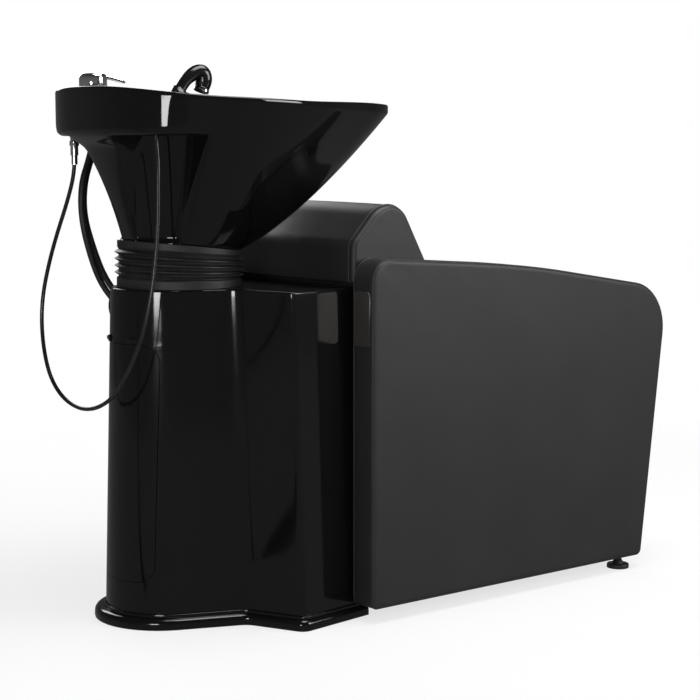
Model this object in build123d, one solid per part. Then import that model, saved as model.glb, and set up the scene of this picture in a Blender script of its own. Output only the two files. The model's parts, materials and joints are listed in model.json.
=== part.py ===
from build123d import *
import math
import os

# Hair washing unit: a tilting basin on a moulded pedestal, with an upholstered armchair in front.
# The sitter faces +X, so the right side is -Y. Millimetres, Z up.
# Every piece is drawn about the pedestal's round rear column, and is moved by centre_x when it is
# written, so that the whole unit stands centred on the origin.

# Overall
centre_x = 404.0
overrun = 40.0
running_gap = 0.05
trim_gap = 0.3
screw_gap = 0.2

# Pedestal shell
flange_height = 20.0
shell_top_z = 595.0
shell_wall = 4.0
top_panel = 5.0
top_chamfer = 3.0
flank_angle = 21.8
foot_radius = 115.0
top_radius = 98.0
foot_bend_x = 66.0
top_bend_x = 62.0
foot_corner_x = 118.0
foot_corner_y = 256.0
top_corner_x = 98.0
top_corner_y = 250.0
block_end_x = 262.0
foot_end_y = 236.0
top_end_y = 226.0
bend_radius = 45.0
corner_radius = 9.0
lip_width = 46.0
lip_window_top = 540.0
top_hole_radius = 92.0

# Foot flange
flange_rear_grow = 15.0
flange_flare_grow = 12.0
flange_side_grow = 9.5
flange_rear_radius = 126.0
flange_bend_radius = 33.0
flange_corner_radius = 21.0
flange_inset = 15.0
flange_round = 11.0
bead_height = 5.0
bead_grow = 3.5

# Service door and its two catches
door_half_width = 80.0
door_low_z = 79.0
door_high_z = 500.0
door_corner = 14.0
door_gap = 0.8
door_skin = 2.2
rebate_depth = 2.5
rebate_width = 8.0
catch_angle = 20.0
catch_radius = 6.0
catch_thickness = 3.0
catch_wing = 13.0
catch_stem_radius = 2.5
catch_lift = 6.0

# Steel frame inside the pedestal
plate_thickness = 8.0
plate_front_x = 200.0
plate_half_width = 120.0
plate_margin = 18.0
window_centre_x = 55.0
window_length = 160.0
window_width = 110.0
anchor_spacing_x = 200.0
anchor_spacing_y = 140.0
anchor_centre_x = 60.0
anchor_hole_radius = 5.5
upright_size = 30.0
upright_wall = 3.0
upright_y = 75.0
crosshead_length = 90.0
crosshead_half_width = 90.0
crosshead_hole_radius = 28.0
rail_size = 30.0
frame_screw_radius = 4.0
frame_screw_head_radius = 7.0
frame_screw_head = 4.5

# Tilt pivot
pivot_x = 29.0
pivot_z = 630.0
cheek_inner_y = 66.0
cheek_thickness = 8.0
cheek_width = 60.0
cheek_top_radius = 22.0
bracket_base = 6.0
bracket_screw_y = 45.0
pin_radius = 6.0
pin_head_radius = 10.0
pin_head = 3.0
bush_wall = 3.0
washer_gap = 0.5
washer_radius = 17.0
lug_thickness = 8.0
lug_radius = 20.0
saddle_radius = 94.0
saddle_thickness = 6.0
saddle_hole_radius = 46.0

# Gaiter between pedestal and basin
basin_tilt_angle = 6.3
collar_z = 667.5
gaiter_ribs = 4
gaiter_root_radius = 107.5
gaiter_tip_radius = 116.0
gaiter_foot_radius = 111.5
gaiter_wall = 3.0
gaiter_foot_band = 16.0
gaiter_top_band = 14.0
clamp_height = 8.0
collar_height = 12.0
collar_thickness = 7.0

# Basin
neck_radius = 107.0
rim_z = 925.2
rim_fall = 0.035
basin_rear_x = -165.0
basin_length = 587.0
basin_half_width = 235.0
rim_band = 9.0
funnel_top_share = 0.985
front_flare = 0.8
rear_flare = 1.05
bowl_flare = 0.6
deck_thickness = 15.0
skirt_depth = 64.0
skirt_wall = 12.0
skirt_end_x = -8.0
skirt_fade_x = 74.0
bowl_rear_x = -35.0
bowl_floor_z = 705.0
bowl_floor_radius = 52.0
waste_x = 40.0
waste_hole_radius = 24.0
under_recess_radius = 82.0
under_recess_z = 690.0
neck_cut_radius = 105.0
neck_cut_depth = 60.0
niche_front_x = -27.0
niche_low_z = 688.0
niche_core_radius = 98.0
niche_core_top_radius = 140.0
spine_half_width = 22.5
spine_low_z = 740.0
spine_low_half_width = 24.3
spine_low_radius = 90.0
spine_mid_z = 800.0
spine_mid_half_width = 37.1
spine_mid_radius = 60.0
spine_arch_round = 12.0
spine_top_half_width = 62.0
niche_arch_radius = 22.0

# Waste fittings
strainer_radius = 34.0
strainer_thickness = 2.5
strainer_holes = 8
strainer_hole_radius = 4.0
strainer_hole_ring = 12.0
waste_pipe_radius = 20.0
waste_pipe_bore = 17.5
waste_pipe_low_z = 642.0
waste_nut_radius = 31.0
waste_nut_height = 10.0
spigot_x = 60.0
spigot_low_z = 6.0
spigot_high_z = 96.0
spigot_bore = 18.0
spigot_ring = 3.0
spigot_ring_height = 2.0
bracket_z = 38.0

# Mixer tap
mixer_x = -72.0
mixer_y = 120.0
mixer_base_radius = 25.0
mixer_base_height = 11.0
mixer_pivot_height = 24.0
mixer_ball_radius = 20.0
mixer_neck_radius = 14.0
mixer_bore_radius = 7.0
cap_radius = 25.0
cap_gap = 0.4
cap_skirt = 4.0
cap_height = 20.5
lever_length = 62.0
lever_width = 19.0
lever_thickness = 5.0
lever_drop = 11.0
lever_root_share = 0.6
lever_crown_share = 0.55
lever_root_radius = 40.0
lever_crown_radius = 60.0
lever_edge_radius = 1.0
swivel_pin_radius = 2.0
swivel_pin_length = 45.0
shank_radius = 10.0
shank_depth = 78.0
shank_nut_radius = 19.0
shank_nut_height = 8.0
manifold_radius = 19.0
manifold_height = 15.0
outlet_x = -118.0
outlet_y = 110.0
outlet_z = 861.0
outlet_radius = 7.0
outlet_low_z = 827.0
outlet_collar_radius = 8.5

# Handset and its holder
handset_x = -61.0
handset_y = -140.0
handset_lean = 34.0
stem_radius = 9.5
tail_length = 58.0
sleeve_radius = 13.0
sleeve_rise = 12.0
sleeve_length = 62.0
holder_radius = 21.0
holder_height = 5.0
holder_nut_radius = 20.0
holder_nut_height = 9.0
stem_rise = 37.0
stem_reach = 31.0
stem_bend_radius = 27.0
stem_head_radius = 14.0
nozzle_drop = 16.0
nozzle_radius = 13.0
nozzle_height = 15.0
spray_radius = 10.5
spray_thickness = 1.5
spray_holes = 12
spray_hole_radius = 0.8

# Hoses
shower_hose_radius = 3.6
ferrule_radius = 5.4
ferrule_length = 16.0
supply_radius = 5.5
port_angle = 115.0
port_z = 558.0
port_radius = 25.0
port_lip = 4.0
port_depth = 8.0
union_radius = 13.0
union_bore = 9.3
union_length = 24.0
union_depth = 12.0

# Side panels
panel_outer_y = 304.0
panel_thickness = 61.0
panel_rear_x = 232.0
panel_bottom_z = 26.0
panel_rear_top_z = 645.0
panel_mid_x = 600.0
panel_mid_z = 618.0
panel_front_x = 983.0
panel_front_z = 556.0
panel_toe_x = 920.0
panel_rear_radius = 38.0
panel_mid_radius = 2400.0
panel_front_radius = 95.0
panel_toe_radius = 9.0
panel_least_radius = 1.0
panel_crown_share = (0.0, 0.07, 0.2, 0.8, 0.93, 1.0)
panel_draw = (10.0, 3.0, 0.0, 0.0, 3.0, 10.0)
core_thickness = 18.0
core_margin = 20.0
plate_low_z = 495.0
plate_height = 96.0
plate_width = 44.0
plate_skin = 2.0
plate_corner = 8.0

# Levelling feet
foot_x = 889.0
foot_disc_radius = 22.0
foot_disc_height = 8.0
foot_cone_height = 8.0
foot_thread_radius = 4.0
foot_hex_radius = 7.5
foot_hex_height = 6.0
foot_thread_length = 62.0
socket_radius = 7.5
socket_length = 40.0

# Seat, back and front board
inner_gap = 1.0
board_thickness = 18.0
rear_board_x = 262.0
rear_board_low_z = 30.0
rear_board_top_z = 601.0
seat_board_top_z = 336.0
seat_board_front_x = 880.0
apron_low_z = 110.0
back_slope_angle = 58.8
back_thickness = 85.0
bolster_rear_x = 236.0
bolster_radius = 64.0
back_foot_x = 512.0
back_foot_z = 438.0
back_board_thickness = 15.0
head_block_height = 42.0
seat_top_z = 452.0
seat_front_x = 944.0
seat_front_rise = 10.0
seat_round = 28.0
cushion_crown = 5.0
cushion_end_draw = 12.0
soft_gap = 1.5
seat_gap = 0.1
bracket_leg = 40.0
bracket_thickness = 4.0
seat_bolt_radius = 4.0
seat_bolt_head = 5.0

# Outlines as shares of the basin's length and half width, from the middle of the rear round to the front
rim_shares = ((0.0, 0.0), (0.005, 0.264), (0.033, 0.53), (0.103, 0.77), (0.225, 0.93), (0.383, 1.0),
              (0.537, 0.966), (0.69, 0.872), (0.84, 0.735), (0.945, 0.615), (0.99, 0.48), (1.0, 0.25),
              (1.0, 0.0))
bowl_shares = ((0.0, 0.0), (0.009, 0.277), (0.046, 0.553), (0.142, 0.787), (0.263, 0.916), (0.405, 0.898),
               (0.602, 0.798), (0.777, 0.677), (0.897, 0.572), (0.952, 0.44), (0.969, 0.23), (0.969, 0.0))
flare_shares = (0.0, 0.06, 0.16, 0.32, 0.52, 0.76, 1.0)
joining_shares = (0.25, 0.75)
seat_bolt_shares = (0.38, 0.62, 0.86)
bowl_level_shares = (0.0, 0.03, 0.12, 0.3, 0.6, 1.0)

# Routes of the hoses, chosen by hand
shower_route = ((-118, 110, 827), (-118, 110, 798), (-124, 128, 745), (-135, 152, 682), (-143, 170, 626),
                (-150, 180, 572), (-155, 177, 522), (-158, 163, 470), (-160, 136, 426), (-160, 92, 396),
                (-158, 36, 383), (-156, -22, 391), (-151, -72, 417), (-146, -110, 460), (-140, -138, 508),
                (-131, -149, 556), (-123, -155, 606), (-115, -155, 662), (-109, -153, 716), (-106, -150, 770),
                (-104, -148, 816), (-102.4, -142, 840), (-102.4, -140, 861))
hot_route = ((-66, 123, 848.7), (-76, 124, 822), (-94, 120, 776), (-98, 116, 720), (-82, 112, 660),
             (-62, 108, 606), (-37, 94, 567), (-16, 70, 523), (-4, 52, 470), (0, 44, 380), (6, 38, 280),
             (40, 34, 190), (84, 30, 134), (100, 25, 98), (100, 25, 64))
cold_route = ((-78, 115, 848.7), (-87, 112, 822), (-107, 108, 776), (-110, 104, 715), (-95, 102, 650),
              (-75, 100, 597), (-49, 87, 558), (-28, 64, 511), (-18, 36, 450), (-14, 6, 360), (-6, -20, 270),
              (32, -34, 190), (82, -34, 134), (100, -25, 98), (100, -25, 64))
drain_route = ((40, 0, 642), (40, 0, 560), (46, 6, 440), (54, -6, 300), (60, 0, 180), (60, 0, 96))

# Places that follow from the sizes above
rail_half = rail_size / 2
plate_top_z = plate_thickness
crosshead_top_z = shell_top_z - top_panel
crosshead_low_z = crosshead_top_z - plate_thickness
tilt_slope = math.tan(math.radians(basin_tilt_angle))
mixer_deck_z = rim_z - rim_fall * (mixer_x - pivot_x)
holder_deck_z = rim_z - rim_fall * (handset_x - pivot_x)
mixer_pivot_z = mixer_deck_z + mixer_pivot_height
inner_half_width = panel_outer_y - panel_thickness - inner_gap
panel_middle_y = panel_outer_y - panel_thickness / 2
lean = math.radians(handset_lean)
stem_axis = Vector(math.sin(lean), 0, math.cos(lean))
stem_base = Vector(handset_x, handset_y, holder_deck_z)


def seg_normal(a, b):
    """Outward unit normal of one side of a counter-clockwise polygon."""
    dx, dy = b[0] - a[0], b[1] - a[1]
    length = math.hypot(dx, dy)
    return dy / length, -dx / length


def meet(p, d, q, e):
    """Where the line through p along d meets the line through q along e."""
    cross = d[0] * e[1] - d[1] * e[0]
    t = ((q[0] - p[0]) * e[1] - (q[1] - p[1]) * e[0]) / cross
    return p[0] + t * d[0], p[1] + t * d[1]


def grown(points, radii, moves):
    """The same polygon with each side moved outward by its own distance, and each round kept concentric."""
    count = len(points)
    sides = []
    for i in range(count):
        a, b = points[i], points[(i + 1) % count]
        n = seg_normal(a, b)
        start = (a[0] + n[0] * moves[i], a[1] + n[1] * moves[i])
        sides.append((start, (b[0] - a[0], b[1] - a[1])))
    corners = []
    rounds = []
    for i in range(count):
        before, after = sides[i - 1], sides[i]
        corners.append(meet(before[0], before[1], after[0], after[1]))
        cross = before[1][0] * after[1][1] - before[1][1] * after[1][0]
        step = (moves[i - 1] + moves[i]) / 2
        step = step if cross > 0 else -step
        rounds.append(max(0.0, radii[i] + step) if radii[i] > 0 else 0.0)
    return corners, rounds


def outline(points, radii):
    """Face in the XY plane with straight sides and rounded corners."""
    return make_face(FilletPolyline(*points, radius=radii, close=True))


def upright_face(points, radii):
    """The same kind of outline in the XZ plane, facing -Y."""
    return Plane.XZ * outline(points, radii)


def pedestal_plan(radius, bend_x, corner_x, corner_y, end_y):
    """Plan of the pedestal: round rear, two flanks, flared block. Counter-clockwise from the rear."""
    apex_x = -radius / math.sin(math.radians(flank_angle))
    bend_y = (bend_x - apex_x) * math.tan(math.radians(flank_angle))
    points = [(apex_x, 0), (bend_x, -bend_y), (corner_x, -corner_y), (block_end_x, -end_y),
              (block_end_x, end_y), (corner_x, corner_y), (bend_x, bend_y)]
    radii = [radius, bend_radius, corner_radius, 0, 0, corner_radius, bend_radius]
    return points, radii


def foot_plan(move=0.0, front=0.0):
    points, radii = pedestal_plan(foot_radius, foot_bend_x, foot_corner_x, foot_corner_y, foot_end_y)
    return grown(points, radii, [move, move, move, front, move, move, move])


def top_plan(move=0.0, front=0.0):
    points, radii = pedestal_plan(top_radius, top_bend_x, top_corner_x, top_corner_y, top_end_y)
    return grown(points, radii, [move, move, move, front, move, move, move])


def plan_between(low_z, high_z, move, front):
    """Solid between the foot plan and the top plan, both moved by the same distance."""
    low = Pos(0, 0, low_z) * outline(*foot_plan(move, front))
    high = Pos(0, 0, high_z) * outline(*top_plan(move, front))
    return loft(sections=[low, high], ruled=True)


def door_prism(grow):
    """Prism along -X with the door's rounded outline, for cutting the round wall."""
    height = door_high_z - door_low_z + 2 * grow
    width = 2 * (door_half_width + grow)
    face = Plane.YZ * RectangleRounded(width, height, door_corner)
    middle = (door_low_z + door_high_z) / 2
    return Pos(-top_radius / 2, 0, middle) * extrude(face, -foot_radius)


def wall_point(angle, z):
    """Point and outward direction on the round rear wall at an angle from +X."""
    share = (z - flange_height) / (shell_top_z - flange_height)
    radius = foot_radius + (top_radius - foot_radius) * share
    a = math.radians(angle)
    return Vector(radius * math.cos(a), radius * math.sin(a), z), Vector(math.cos(a), math.sin(a), 0)


def radial_rod(angle, z, inner, outer, radius):
    """Cylinder along the wall's outward direction, from inner to outer distance of the surface."""
    point, out = wall_point(angle, z)
    plane = Plane(origin=point + out * inner, z_dir=out)
    return extrude(plane * Circle(radius), outer - inner)


def room_behind(front_x, high_z):
    """Block with flat faces that ends at one X and one height, from the flange's top up."""
    length = 4 * block_end_x
    return Pos(front_x - length / 2, 0, (flange_height + high_z) / 2) * Box(
        length, 4 * foot_corner_y, high_z - flange_height)


def pedestal_shell():
    """Moulded cover: tapered wall, closed top with a hole, lipped open front, rebated door opening."""
    body = plan_between(flange_height, shell_top_z, 0.0, overrun) & room_behind(block_end_x, shell_top_z)
    inner = plan_between(flange_height, shell_top_z, -shell_wall, overrun)
    body -= inner & room_behind(block_end_x - shell_wall, crosshead_top_z)
    rim = body.edges().filter_by_position(Axis.Z, shell_top_z, shell_top_z).filter_by(
        lambda e: e.center().X < block_end_x - lip_width / 2)
    body = chamfer(rim, top_chamfer)
    body -= Pos(pivot_x, 0, shell_top_z) * Cylinder(top_hole_radius, 4 * top_panel)
    window_height = lip_window_top - flange_height
    body -= Pos(block_end_x, 0, flange_height + window_height / 2) * Box(
        4 * shell_wall, 2 * (top_end_y - lip_width), window_height + flange_height)
    body -= door_prism(-rebate_width)
    skin = plan_between(flange_height, shell_top_z, overrun, overrun)
    skin -= plan_between(flange_height, shell_top_z, -rebate_depth, -rebate_depth)
    body -= skin & door_prism(0.0)
    body -= radial_rod(port_angle, port_z, -overrun, overrun, port_radius + port_lip)
    for side in (-1, 1):
        body -= radial_rod(180 + side * catch_angle, door_high_z + catch_lift, -overrun, overrun,
                           catch_stem_radius + running_gap)
        for share in joining_shares:
            hole = Rot(0, 90, 0) * Cylinder(frame_screw_radius + screw_gap, 4 * shell_wall)
            body -= Pos(block_end_x, side * (top_end_y - lip_width / 4), share * shell_top_z) * hole
    return body


def service_door():
    """Curved door, flush with the round wall, resting on the rebate."""
    skin = plan_between(flange_height, shell_top_z, 0.0, 0.0)
    skin -= plan_between(flange_height, shell_top_z, -door_skin, -door_skin)
    return skin & door_prism(-door_gap)


def door_catch(side):
    """Turn button on a stem through the wall, at rest open, with its wing turned away from the door."""
    angle = 180 - side * catch_angle
    z = door_high_z + catch_lift
    knob = radial_rod(angle, z, trim_gap, trim_gap + catch_thickness, catch_radius)
    stem_start = -shell_wall - catch_thickness
    stem = radial_rod(angle, z, stem_start, trim_gap + catch_thickness / 2, catch_stem_radius)
    point, out = wall_point(angle, z)
    plane = Plane(origin=point + out * trim_gap, x_dir=Vector(-out.Y, out.X, 0), z_dir=out)
    bar = RectangleRounded(catch_wing + catch_radius, catch_radius, catch_radius / 3)
    wing = extrude(plane * Pos(-side * catch_wing / 2, 0) * bar, catch_thickness)
    wing = Pos(out.X * trim_gap, out.Y * trim_gap, 0) * wing
    inner_nut = radial_rod(angle, z, stem_start, -shell_wall - trim_gap, catch_radius)
    return knob + wing + stem + inner_nut


def base_flange():
    """Moulded foot: an apron with a rounded top edge, and a bead that holds the wall's foot."""
    points, radii = pedestal_plan(foot_radius, foot_bend_x, foot_corner_x, foot_corner_y, foot_end_y)
    moves = [flange_rear_grow, flange_flare_grow, flange_side_grow, flange_side_grow,
             flange_side_grow, flange_flare_grow, flange_rear_grow]
    points, radii = grown(points, radii, moves)
    radii = [flange_rear_radius, flange_bend_radius, flange_corner_radius, 0, 0,
             flange_corner_radius, flange_bend_radius]
    apron = extrude(outline(points, radii), flange_height)
    rim = apron.edges().filter_by_position(Axis.Z, flange_height, flange_height).filter_by(
        lambda e: e.center().X < block_end_x - flange_side_grow)
    apron = fillet(rim, flange_round)
    bead = extrude(Pos(0, 0, flange_height) * outline(*foot_plan(bead_grow, 0.0)), bead_height)
    bead -= extrude(Pos(0, 0, flange_height) * outline(*foot_plan(trim_gap, overrun)), bead_height)
    hole = extrude(outline(*foot_plan(-flange_inset, overrun)), flange_height)
    return apron + bead - hole


def base_plate():
    """Steel plate inside the flange, with a service window and four anchor holes."""
    plate = extrude(outline(*foot_plan(-plate_margin, 0.0)), plate_thickness)
    plate &= Pos(0, 0, plate_thickness / 2) * Box(2 * plate_front_x, 2 * plate_half_width, plate_thickness)
    window = Box(window_length, window_width, 2 * plate_thickness)
    plate -= Pos(window_centre_x, 0, plate_thickness / 2) * window
    for sx in (-1, 1):
        for sy in (-1, 1):
            plate -= Pos(anchor_centre_x + sx * anchor_spacing_x / 2, sy * anchor_spacing_y / 2,
                         plate_thickness / 2) * Cylinder(anchor_hole_radius, 2 * plate_thickness)
    return plate


def upright(side):
    """Square steel tube from the base plate to the crosshead."""
    height = crosshead_low_z - plate_top_z
    tube = Box(upright_size, upright_size, height)
    tube -= Box(upright_size - 2 * upright_wall, upright_size - 2 * upright_wall, height)
    return Pos(pivot_x, side * upright_y, plate_top_z + height / 2) * tube


def tie_rail(side):
    """Square tube from an upright's foot to the chair's rear board."""
    start = pivot_x + upright_size / 2
    length = rear_board_x - start
    tube = Box(length, rail_size, rail_size)
    tube -= Box(length, rail_size - 2 * upright_wall, rail_size - 2 * upright_wall)
    return Pos(start + length / 2, side * upright_y, plate_top_z + rail_half) * tube


def crosshead():
    plate = Box(crosshead_length, 2 * crosshead_half_width, plate_thickness)
    plate -= Pos(waste_x - pivot_x, 0, 0) * Cylinder(crosshead_hole_radius, 2 * plate_thickness)
    plate = fillet(plate.edges().filter_by(Axis.Z).filter_by(
        lambda e: abs(e.center().Y) > crosshead_half_width / 2), corner_radius)
    return Pos(pivot_x, 0, crosshead_low_z + plate_thickness / 2) * plate


def pivot_rod(inner_y, outer_y, radius, side):
    """Cylinder about the tilt axis, from inner_y to outer_y on one side."""
    length = outer_y - inner_y
    return Pos(pivot_x, side * (inner_y + length / 2), pivot_z) * Rot(90, 0, 0) * Cylinder(radius, length)


def pivot_bracket():
    """Steel channel: a base with a hole for the waste, and two round-topped cheeks."""
    outer_y = cheek_inner_y + cheek_thickness
    base = Box(crosshead_length, 2 * outer_y, bracket_base)
    base -= Pos(waste_x - pivot_x, 0, 0) * Cylinder(crosshead_hole_radius, 2 * bracket_base)
    body = Pos(pivot_x, 0, crosshead_top_z + bracket_base / 2) * base
    for side in (-1, 1):
        height = pivot_z - crosshead_top_z
        face = Pos(pivot_x, 0, 0) * make_face(Polyline(
            (-cheek_width / 2, crosshead_top_z), (cheek_width / 2, crosshead_top_z),
            (cheek_top_radius, pivot_z - height / 3), (cheek_top_radius, pivot_z),
            (-cheek_top_radius, pivot_z), (-cheek_top_radius, pivot_z - height / 3), close=True))
        cheek = extrude(Plane.XZ * face, cheek_thickness)
        middle = side * (cheek_inner_y + cheek_thickness / 2) + cheek_thickness / 2
        cheek = Pos(0, middle, 0) * cheek
        cheek += pivot_rod(cheek_inner_y, outer_y, cheek_top_radius, side)
        body += cheek
    for side in (-1, 1):
        body -= pivot_rod(cheek_inner_y - overrun / 4, outer_y + overrun / 4, pin_radius + bush_wall, side)
    return body


def pivot_bushes():
    bushes = []
    for side in (-1, 1):
        ring = pivot_rod(cheek_inner_y, cheek_inner_y + cheek_thickness, pin_radius + bush_wall, side)
        bushes.append(ring - pivot_rod(cheek_inner_y - overrun / 4, cheek_inner_y + overrun,
                                       pin_radius + running_gap, side))
    return Compound(bushes)


def frame_screws():
    """Screw heads that hold the bracket to the crosshead, with their shanks in the crosshead."""
    screws = []
    for sx in (-1, 1):
        for sy in (-1, 1):
            place = Pos(pivot_x + sx * (crosshead_length / 2 - 1.5 * frame_screw_head_radius),
                        sy * bracket_screw_y, crosshead_top_z + bracket_base)
            head = Pos(0, 0, frame_screw_head / 2) * Cylinder(frame_screw_head_radius, frame_screw_head)
            screws.append(place * head)
    return Compound(screws)


def tilted_circle(radius, height, share):
    """Circle about the pivot's vertical, tilted with the basin by a share of its rest angle."""
    angle = basin_tilt_angle * share
    return Pos(pivot_x, 0, height) * Rot(0, angle, 0) * Circle(radius)


def gaiter():
    """Ribbed rubber gaiter: ruled rings from a level foot to the basin's tilted underside."""
    low = shell_top_z
    height = collar_z - collar_height - gaiter_top_band - low - gaiter_foot_band + collar_height
    pitch = height / gaiter_ribs
    levels = [(low, gaiter_foot_radius),
              (low + gaiter_foot_band * 3 / 4, gaiter_tip_radius - gaiter_wall / 2)]
    start = low + gaiter_foot_band
    for rib in range(gaiter_ribs):
        z = start + rib * pitch
        levels.append((z, gaiter_tip_radius))
        levels.append((z + pitch * 0.2, gaiter_tip_radius - gaiter_wall / 3))
        levels.append((z + pitch * 0.55, gaiter_root_radius))
        levels.append((z + pitch * 0.75, gaiter_root_radius))
    levels.append((collar_z - trim_gap, gaiter_root_radius + gaiter_wall / 3))
    span = collar_z - low
    outer = [tilted_circle(r, z, (z - low) / span) for z, r in levels]
    inner = [tilted_circle(r - gaiter_wall, z, (z - low) / span) for z, r in levels]
    return loft(sections=outer, ruled=True) - loft(sections=inner, ruled=True)


def gaiter_clamp():
    """Ring inside the gaiter's foot, on the pedestal's top."""
    outer = gaiter_foot_radius - gaiter_wall - trim_gap
    ring = Cylinder(outer, clamp_height) - Cylinder(top_hole_radius + trim_gap, clamp_height)
    return Pos(pivot_x, 0, shell_top_z + clamp_height / 2) * ring


def tilted(shape):
    """Places a shape, drawn about the pivot's vertical under z = 0, against the basin's underside."""
    return Pos(pivot_x, 0, collar_z) * Rot(0, basin_tilt_angle, 0) * shape


def gaiter_collar():
    """Ring under the basin that the gaiter's top slips over."""
    outer = gaiter_root_radius - gaiter_wall - 3 * trim_gap
    ring = Cylinder(outer, collar_height) - Cylinder(outer - collar_thickness, collar_height)
    return tilted(Pos(0, 0, -collar_height / 2) * ring)


def tilt_saddle():
    """Steel disc under the basin with two lugs that carry the stub pins."""
    disc = Cylinder(saddle_radius, saddle_thickness) - Cylinder(saddle_hole_radius, 2 * saddle_thickness)
    body = tilted(Pos(0, 0, -saddle_thickness / 2) * disc)
    inner_y = cheek_inner_y - washer_gap * 2 - bush_wall - lug_thickness
    outer_y = inner_y + lug_thickness
    for side in (-1, 1):
        face = upright_face([(pivot_x - lug_radius, pivot_z), (pivot_x + lug_radius, pivot_z),
                             (pivot_x + lug_radius, collar_z), (pivot_x - lug_radius, collar_z)], 0)
        lug = extrude(face, lug_thickness)
        lug = Pos(0, side * (inner_y + lug_thickness / 2) + lug_thickness / 2, 0) * lug
        lug += pivot_rod(inner_y, outer_y, lug_radius, side)
        lug &= tilted(Pos(0, 0, -collar_z / 2) * Box(collar_z, collar_z, collar_z))
        body += lug
    for side in (-1, 1):
        body -= pivot_rod(inner_y - overrun / 4, outer_y + overrun / 4, pin_radius, side)
    return body


def pivot_pins():
    """Two stub pins, fixed in the lugs, that turn in the bushes."""
    pins = []
    inner_y = cheek_inner_y - washer_gap * 2 - bush_wall - lug_thickness
    end_y = cheek_inner_y + cheek_thickness + washer_gap
    for side in (-1, 1):
        pin = pivot_rod(inner_y, end_y, pin_radius, side)
        pin += pivot_rod(end_y, end_y + pin_head, pin_head_radius, side)
        pins.append(pin)
    return Compound(pins)


def friction_washers():
    washers = []
    inner_y = cheek_inner_y - washer_gap * 2 - bush_wall
    for side in (-1, 1):
        ring = pivot_rod(inner_y, cheek_inner_y - washer_gap, washer_radius, side)
        washers.append(ring - pivot_rod(inner_y - overrun / 4, cheek_inner_y + overrun / 4,
                                        pin_radius + running_gap, side))
    return Compound(washers)


def half_mirrored(points):
    """Closed list of plan points from one half, without repeating those on the middle line."""
    other = [(x, -y) for x, y in reversed(points[1:-1])]
    return list(points) + other


def rim_plan():
    half = [(basin_rear_x + sx * basin_length, sy * basin_half_width) for sx, sy in rim_shares]
    return half_mirrored(half)


def bowl_plan():
    length = basin_rear_x + basin_length - bowl_rear_x
    half = [(bowl_rear_x + sx * length, sy * basin_half_width) for sx, sy in bowl_shares]
    return half_mirrored(half)


def smooth(value):
    value = min(1.0, max(0.0, value))
    return value * value * (3 - 2 * value)


def flare_reach(angle, level):
    """Share of the way from the neck to the rim at one level: straighter at the rear than at the front."""
    front = level ** front_flare
    rear = level ** rear_flare
    side = smooth((130 - abs(angle)) / 60)
    return rear + (front - rear) * side


def spline_face(points):
    return make_face(Spline(*[Vector(*p) for p in points], periodic=True))


def level_height(x, level, low):
    """Height between the lower plane and the middle of the rim's band at one level."""
    base = low - tilt_slope * (x - pivot_x)
    top = rim_z - rim_band / 2 - rim_fall * (x - pivot_x)
    return base + (top - base) * level


def funnel_section(level, radius, reach):
    """One ring of the basin's body: a blend of the neck's circle and the rim's outline."""
    points = []
    for x, y in rim_plan():
        angle = math.atan2(y, x - pivot_x)
        share = reach(math.degrees(angle), level) * funnel_top_share
        px = pivot_x + radius * math.cos(angle) * (1 - share) + (x - pivot_x) * share
        py = radius * math.sin(angle) * (1 - share) + y * share
        points.append((px, py, level_height(px, level, collar_z)))
    return spline_face(points)


def bowl_section(level):
    points = []
    for x, y in bowl_plan():
        angle = math.atan2(y, x - waste_x)
        share = level ** bowl_flare
        px = waste_x + bowl_floor_radius * math.cos(angle) * (1 - share) + (x - waste_x) * share
        py = bowl_floor_radius * math.sin(angle) * (1 - share) + y * share
        top = rim_z - rim_fall * (px - pivot_x) + overrun / 8
        points.append((px, py, bowl_floor_z + (top - bowl_floor_z) * level))
    return points


def niche_cutters():
    """Two arched recesses under the deck, one each side of the rear spine, down to the neck."""
    arch_z = rim_z - skirt_depth
    far = basin_half_width + overrun
    spine = [(-spine_half_width, niche_low_z), (-spine_low_half_width, spine_low_z),
             (-spine_mid_half_width, spine_mid_z), (-spine_top_half_width, arch_z - trim_gap),
             (-spine_top_half_width - niche_arch_radius, arch_z), (-far, arch_z), (-far, niche_low_z)]
    face = Plane.YZ * outline(spine, [0, spine_low_radius, spine_mid_radius, spine_arch_round, 0, 0, 0])
    cut = extrude(face, basin_length)
    cut = Pos(niche_front_x - basin_length, 0, 0) * cut
    inner_rim = []
    for x, y in rim_plan():
        angle = math.atan2(y, x - pivot_x)
        px = x - skirt_wall * math.cos(angle)
        pz = rim_z - rim_fall * (px - pivot_x) - deck_thickness
        inner_rim.append((px, y - skirt_wall * math.sin(angle), pz))
    pocket = extrude(spline_face(inner_rim), 2 * skirt_depth, dir=(0, 0, -1))
    room = Box(basin_length, far - spine_top_half_width, 2 * skirt_depth)
    room = Pos(niche_front_x - basin_length / 2, -(spine_top_half_width + far) / 2,
               arch_z - overrun / 8 + skirt_depth) * room
    pocket &= room
    near = cut + pocket
    core = Cone(niche_core_radius, niche_core_top_radius, rim_z - collar_z)
    near -= Pos(pivot_x, 0, (rim_z + collar_z) / 2) * core
    return near, mirror(near, about=Plane.XZ)


def stem_rod(start, end, radius):
    """Cylinder along the handset's leaning axis, between two distances from the deck."""
    plane = Plane(origin=stem_base + stem_axis * start, z_dir=stem_axis)
    return extrude(plane * Circle(radius), end - start)


def deck_frame(x, y):
    """Plane on the deck's top, square to it."""
    z = rim_z - rim_fall * (x - pivot_x)
    return Plane(origin=(x, y, z), z_dir=(rim_fall, 0, 1))


def deck_rod(x, y, low, high, radius):
    """Cylinder square to the deck between two distances from its top."""
    frame = deck_frame(x, y)
    return extrude(frame.offset(low) * Circle(radius), high - low)


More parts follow.
